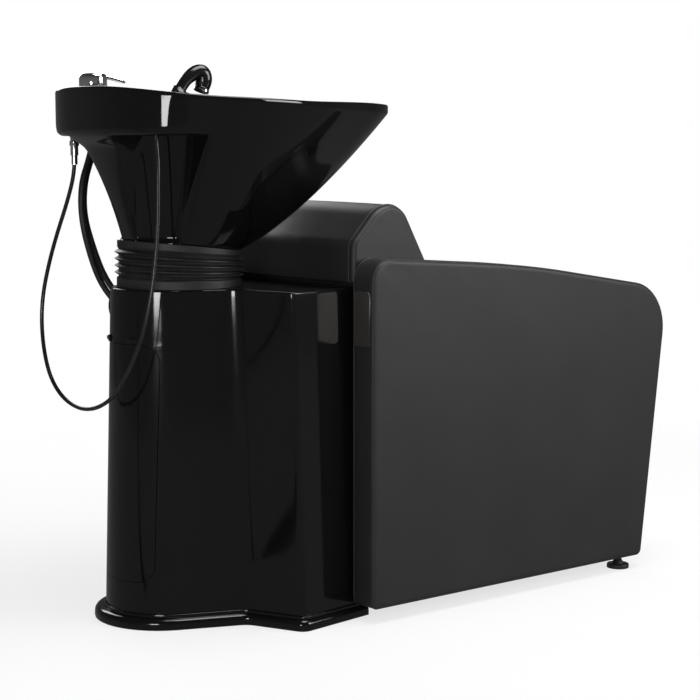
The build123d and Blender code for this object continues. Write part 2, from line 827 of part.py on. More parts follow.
def basin():
    """Ceramic basin: flared body, deck with a skirt, rear spine between two niches, bowl and neck cut."""
    body = loft(sections=[funnel_section(s, neck_radius, flare_reach) for s in flare_shares])
    rim = [(x, y, rim_z - rim_fall * (x - pivot_x)) for x, y in rim_plan()]
    deck = extrude(spline_face(rim), skirt_depth, dir=(0, 0, -1))
    rear_x = basin_rear_x - overrun
    front_x = basin_rear_x + basin_length + overrun
    band_z = rim_z - rim_band
    zone = make_face(Polyline(
        (rear_x, rim_z - 2 * skirt_depth), (skirt_end_x, rim_z - 2 * skirt_depth),
        (skirt_fade_x, band_z - rim_fall * (skirt_fade_x - pivot_x)),
        (front_x, band_z - rim_fall * (front_x - pivot_x)), (front_x, rim_z + overrun),
        (rear_x, rim_z + overrun), close=True))
    deck &= Pos(0, 2 * basin_half_width, 0) * extrude(Plane.XZ * zone, 4 * basin_half_width)
    body += deck
    body -= loft(sections=[spline_face(bowl_section(s)) for s in bowl_level_shares])
    for cutter in niche_cutters():
        body -= cutter
    notch_z = rim_z - neck_cut_depth + neck_cut_radius
    notch = Cylinder(neck_cut_radius, basin_length)
    body -= Pos(basin_rear_x + basin_length + basin_length / 6, 0, notch_z) * Rot(0, 90, 0) * notch
    body -= Pos(waste_x, 0, bowl_floor_z) * Cylinder(waste_hole_radius, 4 * overrun)
    recess_height = under_recess_z - collar_z + overrun
    body -= Pos(pivot_x, 0, under_recess_z - recess_height / 2) * Cylinder(under_recess_radius, recess_height)
    body -= deck_rod(mixer_x, mixer_y, -overrun, overrun, shank_radius + screw_gap)
    body -= stem_rod(-2 * overrun, overrun, sleeve_radius + trim_gap)
    return body


def waste_strainer():
    disc = Cylinder(strainer_radius, strainer_thickness)
    for i in range(strainer_holes):
        a = 2 * math.pi * i / strainer_holes
        disc -= Pos(strainer_hole_ring * math.cos(a), strainer_hole_ring * math.sin(a), 0) * Cylinder(
            strainer_hole_radius, 2 * strainer_thickness)
    return Pos(waste_x, 0, bowl_floor_z + strainer_thickness / 2) * disc


def waste_body():
    length = bowl_floor_z - waste_pipe_low_z
    pipe = Cylinder(waste_pipe_radius, length) - Cylinder(waste_pipe_bore, length)
    return Pos(waste_x, 0, waste_pipe_low_z + length / 2) * pipe


def waste_nut():
    nut = extrude(RegularPolygon(waste_nut_radius, 6), waste_nut_height)
    nut -= Pos(0, 0, waste_nut_height / 2) * Cylinder(waste_pipe_radius, waste_nut_height)
    return Pos(waste_x, 0, under_recess_z - waste_nut_height) * nut


def mixer_body():
    """Round base and a ball seat that the lever's cap turns on."""
    neck_top = mixer_pivot_height - math.sqrt(mixer_ball_radius ** 2 - mixer_neck_radius ** 2)
    body = deck_rod(mixer_x, mixer_y, 0, mixer_base_height, mixer_base_radius)
    neck = Pos(mixer_x, mixer_y, mixer_deck_z + (mixer_base_height + neck_top) / 2) * Cylinder(
        mixer_neck_radius, neck_top)
    ball = Pos(mixer_x, mixer_y, mixer_pivot_z) * Sphere(mixer_ball_radius)
    below = Pos(mixer_x, mixer_y, mixer_pivot_z - mixer_ball_radius - swivel_pin_radius - trim_gap) * Box(
        2 * mixer_ball_radius, 2 * mixer_ball_radius, 2 * mixer_ball_radius)
    body += (neck & below) + (ball & below)
    return body - Pos(mixer_x, mixer_y, mixer_pivot_z) * Cylinder(mixer_bore_radius, 2 * mixer_pivot_height)


def mixer_swivel():
    """Spindle in the mixer's bore with the cross pin that the lever tilts on."""
    low = mixer_pivot_height - mixer_base_height
    spindle = Pos(0, 0, -low / 2) * Cylinder(mixer_bore_radius - running_gap, low)
    head = Sphere(mixer_bore_radius - running_gap)
    pin = Rot(90, 0, 0) * Cylinder(swivel_pin_radius, swivel_pin_length)
    return Pos(mixer_x, mixer_y, mixer_pivot_z) * (spindle + head + pin)


def mixer_lever():
    """Round cap over the ball seat, with a blade that reaches forward and droops."""
    cap = Sphere(cap_radius) + Pos(0, 0, -cap_skirt / 2) * Cylinder(cap_radius, cap_skirt)
    cap &= Pos(0, 0, (cap_height - cap_skirt) / 2) * Box(
        2 * cap_radius, 2 * cap_radius, cap_height + cap_skirt)
    cap -= Sphere(mixer_ball_radius + cap_gap)
    cap -= Pos(0, 0, -cap_radius / 2) * Cylinder(mixer_ball_radius + cap_gap, cap_radius)
    low = cap_height - lever_thickness
    radii = [0, lever_root_radius, lever_edge_radius, lever_edge_radius, lever_crown_radius, 0]
    blade = upright_face([(0, low), (lever_length * lever_root_share, low), (lever_length, cap_height - lever_drop),
                          (lever_length, cap_height - lever_drop + lever_thickness / 2),
                          (lever_length * lever_crown_share, cap_height), (0, cap_height)], radii)
    blade = Pos(0, lever_width / 2, 0) * extrude(blade, lever_width)
    blade -= Sphere(mixer_ball_radius + cap_gap)
    body = cap + blade
    body -= Rot(90, 0, 0) * Cylinder(swivel_pin_radius + running_gap, swivel_pin_length + 2 * trim_gap)
    return Pos(mixer_x, mixer_y, mixer_pivot_z) * body


def mixer_shank():
    """Threaded shank through the deck, with the manifold that the hoses screw into."""
    shank = deck_rod(mixer_x, mixer_y, -shank_depth + manifold_height, 0, shank_radius)
    block = Pos(mixer_x, mixer_y, mixer_deck_z - shank_depth + manifold_height / 2) * Cylinder(
        manifold_radius, manifold_height)
    return shank + block


def shank_nut():
    """Nut that pulls the mixer down on the deck."""
    frame = deck_frame(mixer_x, mixer_y).offset(-deck_thickness - shank_nut_height)
    nut = extrude(frame * RegularPolygon(shank_nut_radius, 6), shank_nut_height)
    return nut - deck_rod(mixer_x, mixer_y, -shank_depth, overrun, shank_radius)


def hose_outlet():
    """Chrome elbow from the manifold to the shower hose."""
    start = Vector(mixer_x, mixer_y, outlet_z)
    end = Vector(outlet_x, outlet_y, outlet_z)
    along = (end - start).normalized()
    first = start + along * manifold_radius
    arm = extrude(Plane(origin=first, z_dir=along) * Circle(outlet_radius), (end - first).length)
    elbow = Pos(outlet_x, outlet_y, outlet_z) * Sphere(outlet_radius)
    drop = outlet_z - outlet_low_z
    leg = Pos(outlet_x, outlet_y, outlet_low_z + drop / 2) * Cylinder(outlet_radius, drop)
    ring = Pos(outlet_x, outlet_y, outlet_low_z + drop * 0.62) * Cylinder(outlet_collar_radius, drop / 4)
    return arm + elbow + leg + ring


def handset_collar():
    """Leaning sleeve through the deck, with a round foot on it."""
    body = deck_rod(handset_x, handset_y, 0, holder_height, holder_radius)
    body += stem_rod(-sleeve_length, sleeve_rise, sleeve_radius)
    return body - stem_rod(-2 * sleeve_length, 2 * sleeve_rise, stem_radius + running_gap)


def collar_nut():
    """Nut on the sleeve, with a seat cut to the deck's underside."""
    frame = deck_frame(handset_x, handset_y)
    reach = (deck_thickness + holder_nut_height) / math.cos(lean)
    nut = stem_rod(-reach - holder_nut_height, 0, holder_nut_radius)
    below = extrude(frame.offset(-deck_thickness - 3 * holder_nut_height) * Rectangle(
        4 * holder_nut_radius, 4 * holder_nut_radius), 3 * holder_nut_height)
    return (nut & below) - stem_rod(-2 * sleeve_length, sleeve_rise, sleeve_radius)


def handset():
    """Curved handset: straight tail in the sleeve, bent stem, nozzle that points down."""
    tail = stem_base - stem_axis * tail_length
    knee_x = stem_rise * math.tan(lean)
    tip = Vector(stem_base.X + knee_x + stem_reach, handset_y, stem_base.Z + stem_rise)
    points = [(tail.X, tail.Z), (stem_base.X + knee_x, stem_base.Z + stem_rise), (tip.X, tip.Z),
              (tip.X - trim_gap, tip.Z - nozzle_drop)]
    path = Plane.XZ * FilletPolyline(*points, radius=[stem_bend_radius, stem_head_radius])
    path = Pos(0, handset_y, 0) * path
    stem = sweep(Plane(origin=path @ 0, z_dir=path % 0) * Circle(stem_radius), path=path)
    head_z = tip.Z - nozzle_drop
    head = Pos(tip.X, handset_y, head_z - nozzle_height / 2) * Cylinder(nozzle_radius, nozzle_height)
    head = fillet(head.edges().group_by(Axis.Z)[-1], nozzle_radius / 4)
    return stem + head, Vector(tip.X, handset_y, head_z - nozzle_height)


def spray_face(place):
    """Round spray plate with its ring of jets."""
    disc = Cylinder(spray_radius, spray_thickness)
    for i in range(spray_holes):
        a = 2 * math.pi * i / spray_holes
        ring = spray_radius * 0.7
        jet = Cylinder(spray_hole_radius, 2 * spray_thickness)
        disc -= Pos(ring * math.cos(a), ring * math.sin(a), 0) * jet
    return Pos(place.X, place.Y, place.Z - spray_thickness / 2) * disc


def hose(name, route, radius, bore=0.0):
    """Hose along straight runs joined by arcs as large as the runs allow."""
    points = [Vector(*p) for p in route]
    runs = [(points[i + 1] - points[i]).length for i in range(len(points) - 1)]
    radii = []
    for i in range(1, len(points) - 1):
        turn = (points[i] - points[i - 1]).get_angle(points[i + 1] - points[i])
        radii.append(0.45 * min(runs[i - 1], runs[i]) / math.tan(math.radians(turn / 2)))
    path = FilletPolyline(*points, radius=radii)
    ring = Plane(origin=path @ 0, z_dir=path % 0) * Circle(radius)
    tube = sweep(ring, path=path)
    print(name, "length", round(path.length), "radii", [round(r) for r in radii], "volume share",
          round(tube.volume / (math.pi * radius ** 2 * path.length), 3))
    if bore > 0:
        inner = Plane(origin=path @ 0, z_dir=path % 0) * Circle(bore)
        tube -= sweep(inner, path=path)
    return tube


def hose_ferrules():
    """Crimped ferrule at the outlet, and the swivel under the handset's tail."""
    top = Vector(*shower_route[0])
    crimp = Cylinder(ferrule_radius, ferrule_length) - Cylinder(shower_hose_radius, ferrule_length)
    crimp = Pos(top.X, top.Y, top.Z - ferrule_length / 2) * crimp
    ball = stem_base - stem_axis * (tail_length + ferrule_length)
    swivel = stem_rod(-tail_length - ferrule_length, -tail_length, ferrule_radius)
    swivel += Pos(ball.X, ball.Y, ball.Z) * Sphere(ferrule_radius)
    return Compound([crimp, swivel])


def hose_grommet():
    """Rubber ring in the wall's port, with a lip on both sides."""
    start = -(port_depth + shell_wall) / 2
    ring = radial_rod(port_angle, port_z, start, port_depth / 2, port_radius + port_lip)
    lip = radial_rod(port_angle, port_z, 0, port_depth / 4, port_radius + 2 * port_lip)
    lip -= plan_between(flange_height, shell_top_z, trim_gap, overrun)
    return ring + lip - radial_rod(port_angle, port_z, -overrun, overrun, port_radius)


def supply_ends():
    """Union nuts on the two supply hoses, open downwards."""
    nuts = []
    for route in (hot_route, cold_route):
        end = Vector(*route[-1])
        nut = extrude(RegularPolygon(union_radius, 6), union_length)
        nut -= Pos(0, 0, union_depth / 2) * Cylinder(union_bore, union_depth)
        nuts.append(Pos(end.X, end.Y, end.Z - union_length) * nut)
    return Compound(nuts)


def drain_spigot():
    """Waste pipe's floor end, with a coned stop ring that seats under the strap."""
    height = spigot_high_z - spigot_low_z
    pipe = Pos(spigot_x, 0, spigot_low_z + height / 2) * Cylinder(waste_pipe_radius, height)
    ring_z = bracket_z - (bracket_thickness + spigot_ring_height) / 2
    pipe += Pos(spigot_x, 0, ring_z) * Cone(
        waste_pipe_radius, waste_pipe_radius + spigot_ring, spigot_ring_height)
    return pipe - Pos(spigot_x, 0, spigot_low_z + height / 2) * Cylinder(spigot_bore, height)


def spigot_bracket():
    """Strap across the plate's window that holds the waste spigot and the two unions."""
    length = 2 * (upright_y - rail_half - screw_gap)
    reach = spigot_x - waste_pipe_radius - rail_half
    front = shower_strap_front()
    strap = Pos((reach + front) / 2, 0, bracket_z) * Box(front - reach, length, bracket_thickness)
    strap -= Pos(spigot_x, 0, bracket_z) * Cylinder(waste_pipe_radius, 2 * bracket_thickness)
    for route in (hot_route, cold_route):
        end = Vector(*route[-1])
        strap -= Pos(end.X, end.Y, bracket_z) * Cylinder(union_bore + screw_gap, 2 * bracket_thickness)
    for side in (-1, 1):
        leg_height = bracket_z - plate_top_z
        leg = Box(front - reach, bracket_thickness, leg_height)
        strap += Pos((reach + front) / 2, side * (length - bracket_thickness) / 2,
                     plate_top_z + leg_height / 2) * leg
    return strap


def shower_strap_front():
    """Front edge of the strap, just past the unions."""
    return Vector(*hot_route[-1]).X + union_radius + bracket_thickness


def panel_outline():
    points = [(panel_rear_x, panel_bottom_z), (panel_toe_x, panel_bottom_z), (panel_front_x, panel_front_z),
              (panel_mid_x, panel_mid_z), (panel_rear_x, panel_rear_top_z)]
    radii = [panel_toe_radius, panel_toe_radius, panel_front_radius, panel_mid_radius, panel_rear_radius]
    return points, radii


def panel_slice(draw):
    points, radii = panel_outline()
    moved, rounds = grown(points, radii, [-draw] * len(points))
    rounds = [max(r, panel_least_radius) for r in rounds]
    return outline(moved, rounds)


def armrest(side):
    """Padded side panel: crowned faces and drawn-in edges, hollow for its board."""
    inner_y = panel_outer_y - panel_thickness
    sections = []
    for share, draw in zip(panel_crown_share, panel_draw):
        y = inner_y + share * panel_thickness
        sections.append(Pos(0, side * y, 0) * (Plane.XZ * panel_slice(draw)))
    pad = loft(sections=sections, ruled=True)
    return pad - armrest_core_blank(side)


def armrest_core_blank(side):
    """Board outline: the panel's own, drawn in all round but flush at the bottom."""
    points, radii = panel_outline()
    moves = [0.0] + [-core_margin] * (len(points) - 1)
    moved, rounds = grown(points, radii, moves)
    rounds = [plate_corner / 4, plate_corner / 4] + rounds[2:]
    rounds[-1] = plate_corner
    board = extrude(Plane.XZ * outline(moved, rounds), core_thickness)
    return Pos(0, side * panel_middle_y + core_thickness / 2, 0) * board


def foot_hole(side, radius, length):
    return Pos(foot_x, side * panel_middle_y, panel_bottom_z + length / 2) * Cylinder(radius, length)


def seat_bolt_places():
    span = seat_board_front_x - rear_board_x
    return [rear_board_x + span * share for share in seat_bolt_shares]


def seat_bolt(x, side, start, end, radius):
    """Rod along Y between two distances from the middle."""
    z = seat_board_top_z - board_thickness - bracket_leg / 2
    return Pos(x, side * (start + end) / 2, z) * Rot(90, 0, 0) * Cylinder(radius, end - start)


def armrest_core(side):
    core = armrest_core_blank(side) - foot_hole(side, socket_radius, socket_length)
    core_inner = panel_middle_y - core_thickness / 2
    for x in seat_bolt_places():
        core -= seat_bolt(x, side, core_inner - overrun, core_inner + core_thickness / 2,
                          seat_bolt_radius + screw_gap)
    return core


def foot_sockets():
    sockets = []
    for side in (-1, 1):
        socket = foot_hole(side, socket_radius, socket_length)
        sockets.append(socket - foot_hole(side, foot_thread_radius + running_gap, socket_length))
    return Compound(sockets)


def levelling_foot(side):
    """Round foot with a cone, a spanner hex and a threaded stem."""
    disc = Pos(0, 0, foot_disc_height / 2) * Cylinder(foot_disc_radius, foot_disc_height)
    disc = fillet(disc.edges().group_by(Axis.Z)[-1], foot_disc_height / 4)
    cone = Pos(0, 0, foot_disc_height + foot_cone_height / 2) * Cone(
        foot_disc_radius * 0.6, foot_hex_radius, foot_cone_height)
    hexagon = Pos(0, 0, foot_disc_height + foot_cone_height) * extrude(
        RegularPolygon(foot_hex_radius, 6), foot_hex_height)
    start = foot_disc_height + foot_cone_height
    stem = Pos(0, 0, start + (foot_thread_length - start) / 2) * Cylinder(
        foot_thread_radius, foot_thread_length - start)
    return Pos(foot_x, side * panel_middle_y, 0) * (disc + cone + hexagon + stem)


def armrest_plate():
    """Bare metal plate on the right panel's rear face."""
    face = Plane.YZ * RectangleRounded(plate_width, plate_height, plate_corner)
    plate = extrude(face, plate_skin)
    plate = Pos(panel_rear_x - plate_skin, -panel_middle_y, plate_low_z + plate_height / 2) * plate
    return plate


def board(low_x, high_x, low_z, high_z, half_width):
    return Pos((low_x + high_x) / 2, 0, (low_z + high_z) / 2) * Box(
        high_x - low_x, 2 * half_width, high_z - low_z)


def rear_board():
    body = board(rear_board_x, rear_board_x + board_thickness, rear_board_low_z, rear_board_top_z,
                 inner_half_width)
    for x, y, z in joining_places():
        body -= Pos(x, y, z) * Rot(0, 90, 0) * Cylinder(frame_screw_radius, 4 * board_thickness)
    return body


def joining_places():
    places = []
    for side in (-1, 1):
        for share in joining_shares:
            places.append((rear_board_x, side * (top_end_y - lip_width / 4), share * shell_top_z))
    return places


def joining_bolts():
    """Bolts through the shell's lip and the rear board."""
    bolts = []
    for x, y, z in joining_places():
        length = board_thickness + shell_wall
        shank = Rot(0, 90, 0) * Cylinder(frame_screw_radius, length)
        shank = Pos(x + board_thickness - length / 2, y, z) * shank
        head = Pos(x + board_thickness + frame_screw_head / 2, y, z) * Rot(0, 90, 0) * Cylinder(
            frame_screw_head_radius, frame_screw_head)
        nut = Pos(x - shell_wall - seat_gap - frame_screw_head / 2, y, z) * Rot(0, 90, 0) * Cylinder(
            frame_screw_head_radius, frame_screw_head)
        bolts.append(shank + head + nut)
    return Compound(bolts)


def slope_point(x, z, along, away):
    """Point from (x, z) by a distance down the back's slope and a distance behind it."""
    a = math.radians(back_slope_angle)
    return (x + along * math.cos(a) - away * math.sin(a), z - along * math.sin(a) - away * math.cos(a))


def slope_x_at(z, away):
    """X of the line behind the back's front face by a distance, at one height."""
    a = math.radians(back_slope_angle)
    foot = slope_point(back_foot_x, back_foot_z, 0, away)
    return foot[0] - (z - foot[1]) / math.tan(a)


def backrest_points():
    a = math.radians(back_slope_angle)
    peak_z = back_foot_z + (back_foot_x - bolster_rear_x) * math.tan(a)
    low_z = rear_board_top_z
    heel = slope_point(back_foot_x, back_foot_z, 0, back_thickness)
    points = [(bolster_rear_x, low_z), (slope_x_at(low_z, back_thickness), low_z), heel,
              (back_foot_x, back_foot_z), (bolster_rear_x, peak_z)]
    radii = [seat_round / 4, seat_round / 4, seat_round / 4, seat_round / 2, bolster_radius]
    return points, radii


def cushion(points, radii, draws, half_width):
    """Soft solid across the chair: sections drawn in towards both ends."""
    sections = []
    for share, draw in draws:
        moved, rounds = grown(points, radii, [-draw] * len(points))
        rounds = [max(r, draw / 4 + trim_gap) for r in rounds]
        sections.append(Pos(0, share * half_width, 0) * (Plane.XZ * outline(moved, rounds)))
    return loft(sections=sections, ruled=True)


def backrest():
    """Back cushion with a round top, thicker in the middle than at its ends."""
    points, radii = backrest_points()
    half = inner_half_width - soft_gap
    draws = [(-1.0, cushion_crown), (-0.97, cushion_crown / 4), (-0.9, 0.0), (0.9, 0.0),
             (0.97, cushion_crown / 4), (1.0, cushion_crown)]
    return cushion(points, radii, draws, half)


def back_board():
    """Slanted board behind the back cushion, with a head block on the rear board."""
    front_x = rear_board_x + board_thickness
    near = back_thickness + soft_gap
    away = near + back_board_thickness
    low_z = seat_board_top_z
    bevel = seat_round / 4
    points = [(front_x, rear_board_top_z - head_block_height),
              (slope_x_at(rear_board_top_z - head_block_height, away), rear_board_top_z - head_block_height),
              (slope_x_at(low_z, away), low_z), (slope_x_at(low_z, near), low_z),
              (slope_x_at(rear_board_top_z - bevel, near), rear_board_top_z - bevel),
              (slope_x_at(rear_board_top_z, near) - bevel, rear_board_top_z), (front_x, rear_board_top_z)]
    face = Plane.XZ * make_face(Polyline(*points, close=True))
    return Pos(0, inner_half_width, 0) * extrude(face, 2 * inner_half_width)


def seat_board():
    return board(rear_board_x + board_thickness, seat_board_front_x, seat_board_top_z - board_thickness,
                 seat_board_top_z, inner_half_width)


def front_apron():
    return board(seat_board_front_x, seat_board_front_x + board_thickness, apron_low_z,
                 seat_board_top_z, inner_half_width)


def seat_cushion():
    """Seat cushion: crowned top, round front, rear end under the back cushion."""
    low_z = seat_board_top_z
    heel = slope_point(back_foot_x, back_foot_z, soft_gap, back_thickness)
    nose = slope_point(back_foot_x, back_foot_z, soft_gap, 0)
    points = [(slope_x_at(low_z, back_thickness - soft_gap), low_z), (seat_front_x, low_z),
              (seat_front_x + seat_front_rise, seat_top_z - cushion_crown),
              ((seat_front_x + nose[0]) / 2, seat_top_z + cushion_crown),
              (nose[0] + soft_gap, seat_top_z - cushion_crown),
              (nose[0], nose[1]), (heel[0] + soft_gap, heel[1])]
    radii = [0, seat_round / 3, seat_round, 40 * seat_round, seat_round / 7, 0, 0]
    half = inner_half_width - soft_gap
    face = outline(points, radii)
    solid = Pos(0, half, 0) * extrude(Plane.XZ * face, 2 * half)
    top_ends = solid.edges().filter_by(lambda e: abs(abs(e.center().Y) - half) < trim_gap
                                       and e.center().Z > seat_top_z - cushion_crown)
    return fillet(top_ends, cushion_end_draw / 2)


def seat_brackets():
    """Steel angles under the seat board, against the two side panels."""
    places = seat_bolt_places()
    length = places[-1] - places[0] + 2 * bracket_leg
    middle = (places[-1] + places[0]) / 2
    top_z = seat_board_top_z - board_thickness
    angles = []
    for side in (-1, 1):
        wall = Pos(middle, side * (inner_half_width - bracket_thickness / 2), top_z - bracket_leg / 2) * Box(
            length, bracket_thickness, bracket_leg)
        shelf = Pos(middle, side * (inner_half_width - bracket_leg / 2), top_z - bracket_thickness / 2) * Box(
            length, bracket_leg, bracket_thickness)
        angle = wall + shelf
        for x in places:
            angle -= seat_bolt(x, side, inner_half_width - 2 * bracket_thickness, panel_middle_y,
                               seat_bolt_radius + screw_gap)
        angles.append(angle)
    return Compound(angles)


def armrest_bolts():
    """Bolts from the angles through the padding into the boards."""
    bolts = []
    head_y = inner_half_width - bracket_thickness
    for side in (-1, 1):
        for x in seat_bolt_places():
            bolt = seat_bolt(x, side, head_y, panel_middle_y, seat_bolt_radius)
            bolt += seat_bolt(x, side, head_y - seat_bolt_head, head_y, 2 * seat_bolt_radius)
            bolts.append(bolt)
    return Compound(bolts)


def bolted_armrest(side):
    """Side panel's padding with the holes that its bolts pass through."""
    pad = armrest(side)
    for x in seat_bolt_places():
        pad -= seat_bolt(x, side, inner_half_width - overrun, panel_middle_y, seat_bolt_radius + screw_gap)
    return pad


def write(name, shape):
    export_step(Pos(-centre_x, 0, 0) * shape, f"parts/{name}.step")


def main():
    os.makedirs("parts", exist_ok=True)
    for side, label in ((-1, "right"), (1, "left")):
        write(f"armrest_{label}", bolted_armrest(side))
        write(f"armrest_core_{label}", armrest_core(side))
        write(f"levelling_foot_{label}", levelling_foot(side))
        write(f"upright_{label}", upright(side))
        write(f"tie_rail_{label}", tie_rail(side))
        write(f"door_catch_{label}", door_catch(side))
    write("pedestal_shell", pedestal_shell())
    write("base_flange", base_flange())
    write("base_plate", base_plate())
    write("crosshead", crosshead())
    write("pivot_bracket", pivot_bracket())
    write("pivot_bushes", pivot_bushes())
    write("frame_screws", frame_screws())
    write("bellows", gaiter())
    write("bellows_clamp", gaiter_clamp())
    write("bellows_collar", gaiter_collar())
    write("tilt_saddle", tilt_saddle())
    write("pivot_pins", pivot_pins())
    write("friction_washers", friction_washers())
    write("service_door", service_door())
    write("basin", basin())
    write("waste_strainer", waste_strainer())
    write("waste_body", waste_body())
    write("waste_nut", waste_nut())
    write("mixer_body", mixer_body())
    write("mixer_swivel", mixer_swivel())
    write("mixer_lever", mixer_lever())
    write("mixer_shank", mixer_shank())
    write("shank_nut", shank_nut())
    write("hose_outlet", hose_outlet())
    write("handset_collar", handset_collar())
    write("collar_nut", collar_nut())
    body, face_place = handset()
    write("handset", body)
    write("spray_face", spray_face(face_place))
    write("shower_hose", hose("shower_hose", shower_route, shower_hose_radius))
    write("hose_ferrules", hose_ferrules())
    write("supply_hose_hot", hose("supply_hose_hot", hot_route, supply_radius))
    write("supply_hose_cold", hose("supply_hose_cold", cold_route, supply_radius))
    write("supply_ends", supply_ends())
    write("hose_grommet", hose_grommet())
    write("drain_hose", hose("drain_hose", drain_route, waste_pipe_radius, waste_pipe_bore))
    write("drain_spigot", drain_spigot())
    write("spigot_bracket", spigot_bracket())
    write("foot_sockets", foot_sockets())
    write("armrest_plate", armrest_plate())
    write("rear_board", rear_board())
    write("joining_bolts", joining_bolts())
    write("backrest", backrest())
    write("back_board", back_board())
    write("seat_board", seat_board())
    write("front_apron", front_apron())
    write("seat_cushion", seat_cushion())
    write("seat_brackets", seat_brackets())
    write("armrest_bolts", armrest_bolts())


main()
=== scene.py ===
import json
import math

import bmesh
import bpy
import numpy as np
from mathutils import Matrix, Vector


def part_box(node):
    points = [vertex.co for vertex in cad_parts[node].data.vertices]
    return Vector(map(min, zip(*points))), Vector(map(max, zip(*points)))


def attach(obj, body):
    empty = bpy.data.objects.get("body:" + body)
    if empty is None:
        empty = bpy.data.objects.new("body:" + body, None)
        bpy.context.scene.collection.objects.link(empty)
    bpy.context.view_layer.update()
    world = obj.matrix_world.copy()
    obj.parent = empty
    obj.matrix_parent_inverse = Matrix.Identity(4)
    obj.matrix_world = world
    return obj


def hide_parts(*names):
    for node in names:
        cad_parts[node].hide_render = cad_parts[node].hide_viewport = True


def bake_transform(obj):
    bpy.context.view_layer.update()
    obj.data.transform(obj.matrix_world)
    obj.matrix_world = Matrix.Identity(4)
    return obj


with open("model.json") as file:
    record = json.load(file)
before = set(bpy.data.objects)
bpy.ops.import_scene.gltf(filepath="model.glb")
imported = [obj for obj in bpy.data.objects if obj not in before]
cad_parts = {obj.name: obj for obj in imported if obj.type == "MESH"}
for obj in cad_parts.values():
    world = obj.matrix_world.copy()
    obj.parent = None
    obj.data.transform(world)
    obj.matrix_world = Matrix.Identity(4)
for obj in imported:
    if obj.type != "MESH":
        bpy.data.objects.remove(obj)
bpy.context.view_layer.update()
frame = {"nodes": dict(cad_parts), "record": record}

# The shapes below are worked out in column millimetres: X = 0 and Y = 0 at the rear column's
# axis, the chair towards +X, the camera's side -Y. Pieces are stored in the frame's metres.
pivot = np.array([29.0, 0.0])
upright_low, upright_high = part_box("upright_right")
column_x = (upright_low.x + upright_high.x) / 2 - pivot[0] / 1000


def to_frame(points):
    """Column millimetres to the frame's metres: divide by a thousand, then move along X."""
    return np.asarray(points, float) * 0.001 + np.array([column_x, 0.0, 0.0])


# ---------------------------------------------------------------- mesh tools

def new_object(name, data):
    """Object that holds the data, linked to the scene."""
    obj = bpy.data.objects.new(name, data)
    bpy.context.scene.collection.objects.link(obj)
    return obj


def grid_quads(rows, columns, wrap_rows, wrap_columns):
    """Faces of a grid of points: each joins a point to its neighbours in the next row and column."""
    r = np.arange(rows if wrap_rows else rows - 1)
    c = np.arange(columns if wrap_columns else columns - 1)
    rr, cc = np.meshgrid(r, c, indexing="ij")
    r2, c2 = (rr + 1) % rows, (cc + 1) % columns
    return np.stack([rr * columns + cc, rr * columns + c2, r2 * columns + c2, r2 * columns + cc], -1).reshape(-1, 4)


def make_object(name, points, faces, smooth_angle=40.0, merge=0.0, outwards=True, uv=None):
    """Mesh object from frame metres. Doubles nearer than merge join, and closed shapes are turned outwards."""
    mesh = bpy.data.meshes.new(name)
    mesh.from_pydata(np.asarray(points).tolist(), [], [list(map(int, f)) for f in faces])
    mesh.update()
    if uv is not None:
        layer = mesh.uv_layers.new(name="UVMap")
        loops = np.empty(len(mesh.loops), int)
        mesh.loops.foreach_get("vertex_index", loops)
        layer.data.foreach_set("uv", np.asarray(uv, float)[loops].ravel())
    if merge or outwards:
        work = bmesh.new()
        work.from_mesh(mesh)
        if merge:
            bmesh.ops.remove_doubles(work, verts=work.verts, dist=merge)
        if outwards:
            bmesh.ops.recalc_face_normals(work, faces=work.faces)
        work.to_mesh(mesh)
        work.free()
    mesh.shade_smooth()
    if smooth_angle < 179:
        mesh.set_sharp_from_angle(angle=math.radians(smooth_angle))
    return new_object(name, mesh)


def add_piece(obj, body, slot_name, nodes=(), material=None, blend=None):
    """Rides a finished piece on its body, or, where a blend is given, leaves it on no body with its place baked
    into its points, and gives it a finish: its slot's own, unless another is named."""
    obj.data.materials.clear()
    obj.data.materials.append(material or finishes[slot_name])
    if blend:
        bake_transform(obj)
    else:
        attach(obj, body)
    if nodes:
        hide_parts(*nodes)
    return obj


def grid_piece(name, grid, wrap_rows=False, wrap_columns=True, **options):
    """Mesh from a grid of column points (rows, columns, 3). A tube's open ends are capped by their row's middle."""
    rows, columns = grid.shape[:2]
    points = to_frame(grid.reshape(-1, 3))
    faces = [tuple(f) for f in grid_quads(rows, columns, wrap_rows, wrap_columns)]
    if not wrap_rows and wrap_columns:
        for row in (0, rows - 1):
            hub = len(points)
            points = np.vstack([points, to_frame(grid[row].mean(0))])
            ring = row * columns + np.arange(columns)
            faces += [(int(a), int(b), hub) if row else (int(b), int(a), hub) for a, b in zip(ring, np.roll(ring, -1))]
    return make_object(name, points, faces, **options)


def smooth_step(value):
    """Three times the square less twice the cube of a value held between 0 and 1."""
    value = np.clip(value, 0.0, 1.0)
    return value * value * (3 - 2 * value)


def turns(count):
    """Even directions round a full turn."""
    return np.linspace(0, 2 * math.pi, count, endpoint=False)


def smooth_max(a, b, width):
    """Larger of two values, with the meeting rounded over a width: the mean plus half the root of the gap squared."""
    return 0.5 * (a + b + np.sqrt((a - b) ** 2 + width ** 2))


def smooth_min(a, b, width):
    """Smaller of two values, with the meeting rounded over a width."""
    return -smooth_max(-a, -b, width)


